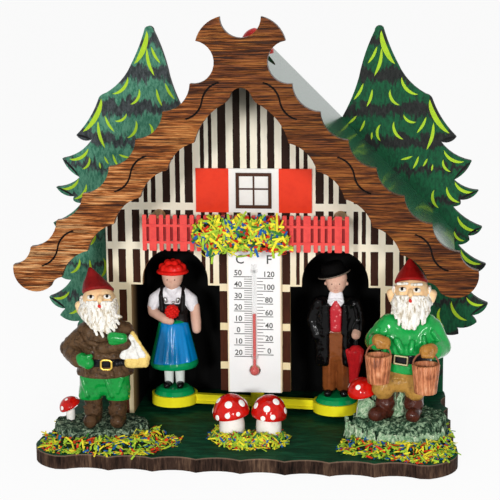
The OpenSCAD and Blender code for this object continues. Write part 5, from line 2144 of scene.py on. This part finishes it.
@dataclass
class Garden:
    """Rocks, toadstools and strewn beds on the lawn.

    Attributes:
        toadstools: The four toadstools.
        left_spread: Outline of the left bed.
        right_spread: Outline of the right bed.
        middle_spread: Outline of the middle bed.
        middle_lumps: Limbs that the middle bed's mat is cast from.
        rim_at: Middle of the row of tufts on the right rock.
        rim_half: Half-widths of that row.
        rim_tufts: Number of tufts in it.
        stump_posts: Foot of each lump behind the boots.
        stump_lumps: Limbs of the lumps before the right toadstool.
    """

    toadstools: tuple[Toadstool, ...] = (
        Toadstool("front_left_toadstool", ("front_toadstool_stems",), ("front_toadstool_caps",),
            (-5.5, -24.9, 5.2), (8.4, 4.5), (6.75, 8.2), (-9, 4), (
                (4, 46, 1.35), (64, 38, 1.4), (-42, 12, 1.0), (-4, 17, 1.0), (31, 16, 0.8), (-72, 56, 1.2),
                (110, 30, 1.2), (150, 45, 1.3), (175, 20, 1.2), (-130, 35, 1.4), (-90, 20, 1.1))),
        Toadstool("front_right_toadstool", (), (), (7.6, -24.3, 5.2), (8.2, 4.5), (6.5, 8.2), (6, 4), (
            (-6, 36, 1.2), (42, 58, 1.3), (-62, 34, 1.2), (18, 16, 0.95), (-14, 10, 0.9), (80, 25, 1.2),
            (130, 40, 1.3), (175, 22, 1.2), (-120, 40, 1.3))),
        Toadstool("left_toadstool", ("left_toadstool_stem",), ("left_toadstool_cap",), (-65.2, -18.6, 8.4),
            (5.2, 1.6), (4.1, 3.9), (-26, 8),
            ((-35, 28, 0.75), (20, 70, 0.6), (100, 30, 0.7), (-120, 40, 0.8))),
        Toadstool("right_toadstool", ("right_toadstool_stem",), ("right_toadstool_cap",),
            (39.2, -17.2, 12.4), (8.5, 1.15), (5.4, 5.8), (-10, 12),
            ((-14, 48, 0.95), (70, 30, 0.8), (-110, 30, 0.9), (170, 40, 1)), 9))
    left_spread: tuple[Spot, ...] = (
        (-72, 3.6), (-73.2, -8.5), (-73.4, -19.3), (-73.2, -30), (-70.6, -41), (-66, -46.2), (-58, -46.8),
        (-45.2, -46.8), (-38, -46.6), (-31.1, -45), (-28.6, -40), (-24.6, -36), (-22.9, -29.4),
        (-25.9, -21.9), (-29.2, -18.8), (-35.7, -20), (-38.6, -27), (-44.6, -33), (-52, -36), (-60, -36),
        (-66, -32.6), (-70, -26), (-71, -19), (-70.4, -12), (-70.8, -3))
    right_spread: tuple[Spot, ...] = (
        (32.2, -36.3), (34, -24.9), (39.3, -27), (43.7, -30.4), (52.8, -32.6), (61, -32.4), (66.6, -28.6),
        (70.2, -20), (70.4, -11.4), (70, -1.5), (72.4, -3), (73.2, -16), (73.4, -34), (72.4, -40),
        (69, -44.6), (65, -46.8), (58, -46.6), (51, -43.4), (46.3, -43.4), (41.4, -41), (35.8, -39.3))
    middle_spread: tuple[Spot, ...] = (
        (-14.6, -24.3), (-12.4, -17), (-8, -15), (0, -18), (6, -17), (12.2, -19.5), (15.4, -25.3),
        (13.7, -31.6), (10.4, -35.2), (1.5, -37.8), (-3.8, -36.8), (-8.8, -33))
    middle_lumps: tuple[tuple[Bead, ...], ...] = (
        ((-11, -28, 5.6, 1.8), (-5.5, -31.2, 6.2, 2.5)), ((-5.5, -31.2, 6.2, 2.5), (1.2, -31.2, 6.3, 2.6)),
        ((1.2, -31.2, 6.3, 2.6), (8, -31, 6.2, 2.5)), ((8, -31, 6.2, 2.5), (13, -26.6, 5.6, 1.8)),
        ((1, -25.4, 5.4, 2.4), (1.2, -31, 5.6, 2.4)), ((-11, -28, 5.2, 1.4), (-10.8, -20, 5.4, 2.2)),
        ((-8, -32.6, 5.2, 1.4), (1, -35, 5.2, 1.6)), ((1, -35, 5.2, 1.6), (10, -33.4, 5.2, 1.4)))
    rim_at: Spot = (52.8, -16.6)
    rim_half: Spot = (18.1, 15.6)
    rim_tufts: int = 64
    stump_posts: tuple[Spot, ...] = (
        (44.5, -15), (46.5, -15), (49, -14.4), (52, -14.6), (55, -14.4), (58, -15), (50.5, -17),
        (53.4, -17.4), (54, -16))
    stump_lumps: tuple[tuple[Bead, ...], ...] = (
        ((39.6, -20.6, 9, 1.6), (40.2, -20.2, 17.8, 1.3)), ((42.0, -20.8, 10, 1.8), (42.2, -20, 19, 1.4)),
        ((44, -20.4, 11, 1.6), (44, -19.6, 18, 1.2)))

    def build(self) -> None:
        """Builds everything that stands on the lawn."""
        self.rock("left_rock", ROCK_LEFT, ((-53.5, -30, 9.2), (0, -0.4, 1)))
        self.rock("right_rock", ROCK_RIGHT, ((53.5, -24.8, 13.4), (0.05, -0.55, 1)))
        self.tufts()
        for toadstool in self.toadstools:
            toadstool.build()
        lawn = ("base_plate",)
        Shavings("left_bed", "left_flower_bed", "shavings", 1080, self.left_spread, lawn, long=2.4,
            bright=1.3).build()
        Shavings("middle_bed", "middle_flower_bed", "shavings", 1250, self.middle_spread, lawn,
            self.middle_lumps, ((0, 0, -1), (0, 0.78, -0.62)), seed=11, long=0.6).build()
        Shavings("right_bed", "right_flower_bed", "shavings", 1150, self.right_spread, lawn, seed=5,
            long=0.5).build()

    def rock(self, node: str, finish: Finish, slope: tuple[Point, Point]) -> None:
        """Models the broken, mossy surface of a rock.

        Args:
            node: Node that the rock stands for.
            finish: Finish of the moss.
            slope: A point on the slope to the front and the side that is cut away.
        """
        piece = Bench.copy_node(node)
        Bench.trim(piece, *slope)
        Bench.melt(piece, 0.5, 3)
        Bench.roughen(piece, 1.9, 3.2)
        Bench.roughen(piece, 1.1, 1.2)
        Bench.hand_over(piece, node + "_moss", Body.HOUSE, "rock_grey", finish, (node,), 80)

    def tufts(self) -> None:
        """Plants pale tufts along the front rim of the right rock and behind the boots."""
        dice = random.Random(3)
        limbs: list[Limb] = []
        for i in range(self.rim_tufts):
            turn = radians(-104 + i * 2.7)
            x = self.rim_at[0] + self.rim_half[0] * sin(turn)
            y = self.rim_at[1] - self.rim_half[1] * cos(turn)
            top = 9.6 - 0.6 * sin(turn) + dice.uniform(-0.9, 0.9)
            foot = (x + dice.uniform(-0.5, 0.5), y - 0.3, 5.4, 0.7)
            limbs.append([foot, (x + dice.uniform(-0.8, 0.8), y + 0.8, top, 0.5)])
        piece = Bench.cast(limbs, 0.26, 2)
        Bench.roughen(piece, 0.5, 0.9)
        Bench.hand_over(piece, "right_rock_tufts", Body.HOUSE, "rock_grey", TUFTS)
        stump: list[Limb] = [[(x, y, 12, 1.8), (x + dice.uniform(-1, 1), y, 12 + dice.uniform(7, 10), 0.9)]
                             for x, y in self.stump_posts]
        stump += self.stump_lumps
        piece = Bench.cast(stump, 0.35, 3)
        Bench.roughen(piece, 1.2, 1.6)
        Bench.hand_over(piece, "right_rock_stump", Body.HOUSE, "rock_grey", TUFTS)


@dataclass
class Thermometer:
    """Printed scales and red spirit of the thermometer.

    Attributes:
        face: Place of the plate's front face.
        c_zero: Height of 0 on the left scale.
        c_ten: Height of 10 degrees there.
        f_zero: Height of 0 on the right scale.
        f_twenty: Height of 20 degrees there.
        left_lines: Outer end of the long and the short lines on the left, and their inner end.
        right_lines: Inner end of the lines on the right, and outer ends from the long to the short ones.
        weights: Weight of the long lines and of the others.
        digits: Height of the numbers, and how far they stand over their line.
        columns: Middle of the numbers on the left and on the right.
        titles: Letter and middle of each heading.
        title_at: Height and foot of the headings.
        bulb: Middle of the bulb.
        bulb_r: Radius of the spirit in the bulb.
        column: Radius and upper end of the spirit in the tube.
    """

    face: float = 1.6
    c_zero: float = 36.87
    c_ten: float = 4.294
    f_zero: float = 28.98
    f_twenty: float = 4.813
    left_lines: Point = (-7.6, -3.7, -0.85)
    right_lines: Bead = (1.0, 6.95, 3.9, 3.2)
    weights: Spot = (0.3, 0.24)
    digits: Spot = (2.85, 0.55)
    columns: Spot = (-5.95, 5.35)
    titles: tuple[tuple[str, float], ...] = (("C", -5.2), ("F", 5.45))
    title_at: Spot = (4.6, 63.3)
    bulb: Point = (0, 0.6, 23.1)
    bulb_r: float = 1.75
    column: Spot = (0.55, 44.8)

    def line(self, left: float, right: float, height: float, weight: float) -> Piece:
        """Prints one line of the scale."""
        return Bench.block((left, self.face - 0.05, height - weight / 2),
            (right, self.face + 0.02, height + weight / 2))

    def number(self, value: int, column: float, height: float) -> Piece:
        """Prints the number of a long line."""
        return Bench.words(str(value), self.digits[0], (column, self.face - 0.04, height + self.digits[1]))

    def build(self) -> None:
        """Fills the tube and prints both scales."""
        self.spirit()
        ink: list[Piece] = []
        left_long, left_short, left_inner = self.left_lines
        for step in range(-10, 26):
            height = self.c_zero + step * self.c_ten / 5
            long = step % 5 == 0
            ink.append(self.line(left_long if long else left_short, left_inner, height,
                self.weights[0 if long else 1]))
            if long:
                ink.append(self.number(abs(step * 2), self.columns[0], height))
        right_inner, right_long, right_middle, right_short = self.right_lines
        for step in range(0, 25):
            height = self.f_zero + step * self.f_twenty / 4
            long = step % 4 == 0
            end = right_long if long else (right_middle if step % 2 == 0 else right_short)
            ink.append(self.line(right_inner, end, height, self.weights[0 if long else 1]))
            if long:
                ink.append(self.number(step * 5, self.columns[1], height))
        for letter, middle in self.titles:
            ink.append(Bench.words(letter, self.title_at[0], (middle, self.face - 0.04, self.title_at[1])))
        Bench.hand_over(Bench.join(ink), "thermometer_print", Body.HOUSE, "scale_white", INK)

    def spirit(self) -> None:
        """Turns the red spirit in the bulb and the tube."""
        turns = [radians(-90 + 15 * i) for i in range(11)]
        profile = [(self.bulb_r * cos(t), self.bulb_r * sin(t)) for t in turns]
        radius, top = self.column
        rise = top - self.bulb[2]
        profile[0] = (0, -self.bulb_r)
        profile += [
            (radius, self.bulb_r + 0.2), (radius, rise - 0.3), (radius * 0.7, rise - 0.08), (0, rise)]
        piece = Bench.lathe(profile, self.bulb, 24)
        Bench.hand_over(piece, "thermometer_spirit", Body.HOUSE, "fluid_red", FLUID_RED,
            ("thermometer_fluid",))


@dataclass
class Fir:
    """Lime strokes and shaded branches of a painted fir.

    Attributes:
        node: Node of the board.
        side: 1 for the right-hand tree, -1 for the left-hand one.
        rims: Upper and lower height and width of each stroke along the outer edge.
        strokes: Upper and lower end of each other stroke.
        branches: Tip and notch of each branch's underside.
        nudges: Steps that are tried to bring a stroke onto the board.
        front: Place of the painted face.
    """

    node: str
    side: int
    rims: tuple[Point, ...] = ((145.4, 133, 2.0), (119.6, 107, 1.9))
    strokes: tuple[tuple[Spot, Spot], ...] = (
        ((42.5, 139.2), (39.2, 133.1)), ((44.1, 138.5), (41.5, 128.4)), ((37.4, 125.3), (34, 119.4)),
        ((40.8, 123), (38.8, 116.7)), ((47.5, 122.9), (51.3, 116.6)), ((51.7, 127.5), (58.3, 120.5)),
        ((52.7, 113.3), (57.8, 110.2)), ((61.2, 112.7), (57.8, 106.8)), ((63.8, 110.4), (61.4, 100.4)),
        ((49, 110.8), (52.8, 103.6)), ((44, 109.9), (44.1, 103.1)), ((38.1, 111.3), (36.3, 107.2)),
        ((35, 113.1), (32, 110.3)), ((40.9, 106.7), (40.7, 104)), ((56.3, 97.9), (52.2, 96.7)),
        ((58.5, 97.7), (56.5, 93.1)), ((61.9, 96.8), (60.4, 94)), ((68, 99.6), (76.1, 95.1)),
        ((67.8, 96.4), (70.9, 91.4)), ((64, 94.5), (63.6, 92.2)), ((72.2, 87.7), (79.9, 83.5)),
        ((69.2, 85.9), (74.5, 79.5)), ((64.5, 84.9), (66.4, 77.4)), ((73.4, 74.4), (81.5, 68.6)),
        ((72.4, 68.8), (76.6, 64.7)), ((74.8, 61.4), (83.1, 55.6)), ((77.4, 42.7), (84.3, 39.8)),
        ((71.5, 41.2), (78, 33.3)), ((67.4, 38.8), (69.1, 30.7)), ((66.6, 67.2), (69.6, 61)),
        ((63.3, 56.8), (65, 48.1)), ((68.8, 55.8), (68, 51)), ((72.8, 56), (77.1, 49.9)),
        ((76.9, 35.4), (78.2, 30.5)))
    branches: tuple[tuple[Spot, Spot], ...] = (
        ((73.1, 105.1), (67.1, 103.3)), ((78.9, 95.9), (72.3, 88.6)), ((81.7, 84.6), (74.7, 81)),
        ((83.3, 70.5), (77.7, 67.2)), ((85, 56), (79.6, 52.6)), ((86, 40.6), (79.5, 35.9)))
    nudges: tuple[Spot, ...] = ((0, 0), (-0.7, -0.5), (-1.4, -1.0), (-2.1, -1.4))
    front: float = 40.4

    def build(self) -> None:
        """Paints branches and strokes."""
        copy = Bench.copy_node(self.node)
        board = BVHTree.FromPolygons([v.co for v in copy.data.vertices],
            [f.vertices for f in copy.data.polygons])
        bpy.data.objects.remove(copy)
        drawn = [self.rim(board, *rim) for rim in self.rims]
        brushed = [self.stroke(board, start, end) for start, end in self.strokes]
        drawn += [stroke for stroke in brushed if stroke]
        Bench.hand_over(Bench.join(drawn), self.node + "_strokes", Body.HOUSE, "tree_green", LIME)
        shades = [self.band([Vector(mix_points(tip, notch, i / 8)) for i in range(9)], -0.1, 0.8)
                  for tip, notch in self.branches]
        Bench.hand_over(Bench.join(shades), self.node + "_shades", Body.HOUSE, "tree_green", RIM_BLACK)

    def inside(self, board: BVHTree, x: float, z: float, margin: float) -> bool:
        """Tells whether a spot and its surroundings lie on the board.

        Args:
            board: Faces of the board.
            x: Place across.
            z: Height.
            margin: Reach of the surroundings.

        Returns:
            True on the board.
        """
        around = ((0, 0), (margin, 0), (-margin, 0), (0, margin), (0, -margin))
        ray = Vector((0, 1, 0))
        return all(board.ray_cast(Vector((self.side * x + a, 0, z + b)), ray)[0] is not None
            for a, b in around)

    def rim(self, board: BVHTree, high: float, low: float, width: float) -> Piece:
        """Draws one stroke just inside the board's outer edge.

        Args:
            board: Faces of the board.
            high: Height of the upper end.
            low: Height of the lower end.
            width: Greatest width of the stroke.

        Returns:
            The stroke.
        """
        spots = []
        for i in range(13):
            z = high + (low - high) * i / 12
            hit = board.ray_cast(Vector((self.side * 200, self.front + 1.5, z)),
                Vector((-self.side, 0, 0)))[0]
            spots.append(Vector((abs(hit.x), z)))
        return self.band(spots, 1.0, width)

    def band(self, spots: Sequence[Vector], gap: float, width: float) -> Piece:
        """Draws a crescent beside a line of spots, to the right of the way along it.

        Args:
            spots: Line to follow.
            gap: Distance from the line.
            width: Greatest width.

        Returns:
            The crescent.
        """
        rows: list[list[Point]] = [[], []]
        last = len(spots) - 1
        for i, spot in enumerate(spots):
            run = spots[min(i + 1, last)] - spots[max(i - 1, 0)]
            aside = Vector((run.y, -run.x)).normalized()
            bow = (4 * i / last * (1 - i / last)) ** 0.7
            for row, offset in zip(rows, (gap, gap + width * bow)):
                place = spot + aside * offset
                row.append((self.side * place.x, self.front - 0.12, place.y))
        return Bench.slab(Bench.outline(rows[0] + rows[1][-2:0:-1]), (0, 0.1, 0))

    def stroke(self, board: BVHTree, start: Spot, end: Spot) -> Piece | None:
        """Brushes one sagging stroke, moved in until it lies on the board.

        Args:
            board: Faces of the board.
            start: First end.
            end: Second end.

        Returns:
            The stroke, or nothing where it finds no room.
        """
        for nudge in self.nudges:
            ends = [(spot[0] + nudge[0], spot[1] + nudge[1]) for spot in (start, end)]
            if all(self.inside(board, *mix_points(*ends, share), 0.25) for share in (0.05, 0.5, 0.95)):
                start, end = ends
                break
        else:
            return None
        run = Vector(end) - Vector(start)
        down = Vector((run.y, -run.x)).normalized()
        if down.y > 0:
            down = -down
        sag = 0.13 * run.length
        spots = [
            Vector(mix_points(start, end, i / 10)) + down * sag * 4 * (i / 10) * (1 - i / 10)
            for i in range(11)]
        width = 0.55 + 0.07 * run.length
        return self.band(spots, -width / 2, width)


@dataclass
class RailingFlowers:
    """Clump of shavings on the railing.

    Attributes:
        low: Lower left corner of the clump.
        high: Upper right corner of the clump.
        front: Place of the clump's middle, front to back.
        lumps: Number of lumps side by side.
        lump_r: Radius of a lump.
    """

    low: Spot = (-21.2, 70.1)
    high: Spot = (14.4, 84.1)
    front: float = -13.1
    lumps: int = 26
    lump_r: float = 1.9

    def build(self) -> None:
        """Casts a ragged clump and strews it from the front, partly from above and below."""
        dice = random.Random(4)
        limbs: list[Limb] = []
        for i in range(self.lumps):
            share = (i + 0.5) / self.lumps
            x = self.low[0] + 2.4 + share * (self.high[0] - self.low[0] - 4.8)
            crown = min(1.0, 0.45 + 3.6 * share, 0.35 + 7 * (1 - share))
            top = self.low[1] + 3 + crown * (self.high[1] - self.low[1] - 5.2) * dice.uniform(0.76, 1.0)
            hang = -4.2 if 0.1 < share < 0.2 else dice.uniform(-1.0, 2.4)
            foot = self.low[1] + 3.2 + max(hang, 36 * (0.1 - share))
            crest = (x + dice.uniform(-0.8, 0.8), self.front, max(top, foot + 1), self.lump_r)
            limbs.append([(x, self.front, foot, self.lump_r), crest])
        Shavings("railing_flowers", "railing_flowers", "shavings", 900, lumps=tuple(limbs),
            rays=((0, 1, 0), (0, 1, 0), (0, 1, -0.5), (0, 0.6, 0.4)), seed=23, long=2.6, bright=1.7,
            loose=1.8, scale=1.3).build()


def figures() -> list[Figure]:
    """Returns the four figures at their places.

    Returns:
        Lady, man and both gnomes.
    """
    return [
        Lady("lady", "lady_figure", "lady_paint", Body.BEAM, (-31.92, 12.755, 13.3)),
        Man("man", "man_figure", "man_paint", Body.BEAM, (29.74, 6.275, 13.3)),
        LeftGnome("left_gnome", "left_gnome", "left_gnome_paint", Body.HOUSE, (-51, -22.6, 9),
            head=(-1.6, -1, 45.0), skull=6.2, tip=(-4.7, 0.4, 56.7), brim=(-2.0, 0, 48.8), cap_half=5.6,
            beard_tip=(1.2, -8.8, 34.4), spread=6.4, gaze=((-3.3, -6.4, 48), (2.5, -6.4, 48.3)),
            glance=(0.1, 0.2), mouth=(0, -8.0, 45.2), temples=1.0, ears=((-1, 1.6, -1.9),)),
        RightGnome("right_gnome", "right_gnome", "right_gnome_paint", Body.HOUSE, (53, -19.6, 13),
            head=(4.6, -1, 45.0), skull=6.5, tip=(3.9, 0.4, 56.7), brim=(4.35, 0, 49.1), cap_half=5.8,
            beard_tip=(4.4, -8.8, 33.4), spread=6.2, gaze=((1.5, -6.8, 47.9), (6.4, -6.8, 47.7)),
            glance=(-0.2, 0.2), mouth=(4.2, -8.4, 44.3), temples=3.4,
            ears=((-1, 1.6, -0.5), (1, 1.6, -0.5)))]


def main() -> None:
    """Builds the studio and dresses the house."""
    logging.basicConfig(level=logging.INFO, format="%(message)s")
    Studio().build()
    House().dress()
    Thermometer().build()
    for node, side in (("left_tree", -1), ("right_tree", 1)):
        Fir(node, side).build()
    RailingFlowers().build()
    for figure in figures():
        figure.build()
    Garden().build()


if __name__ == "__main__":
    main()
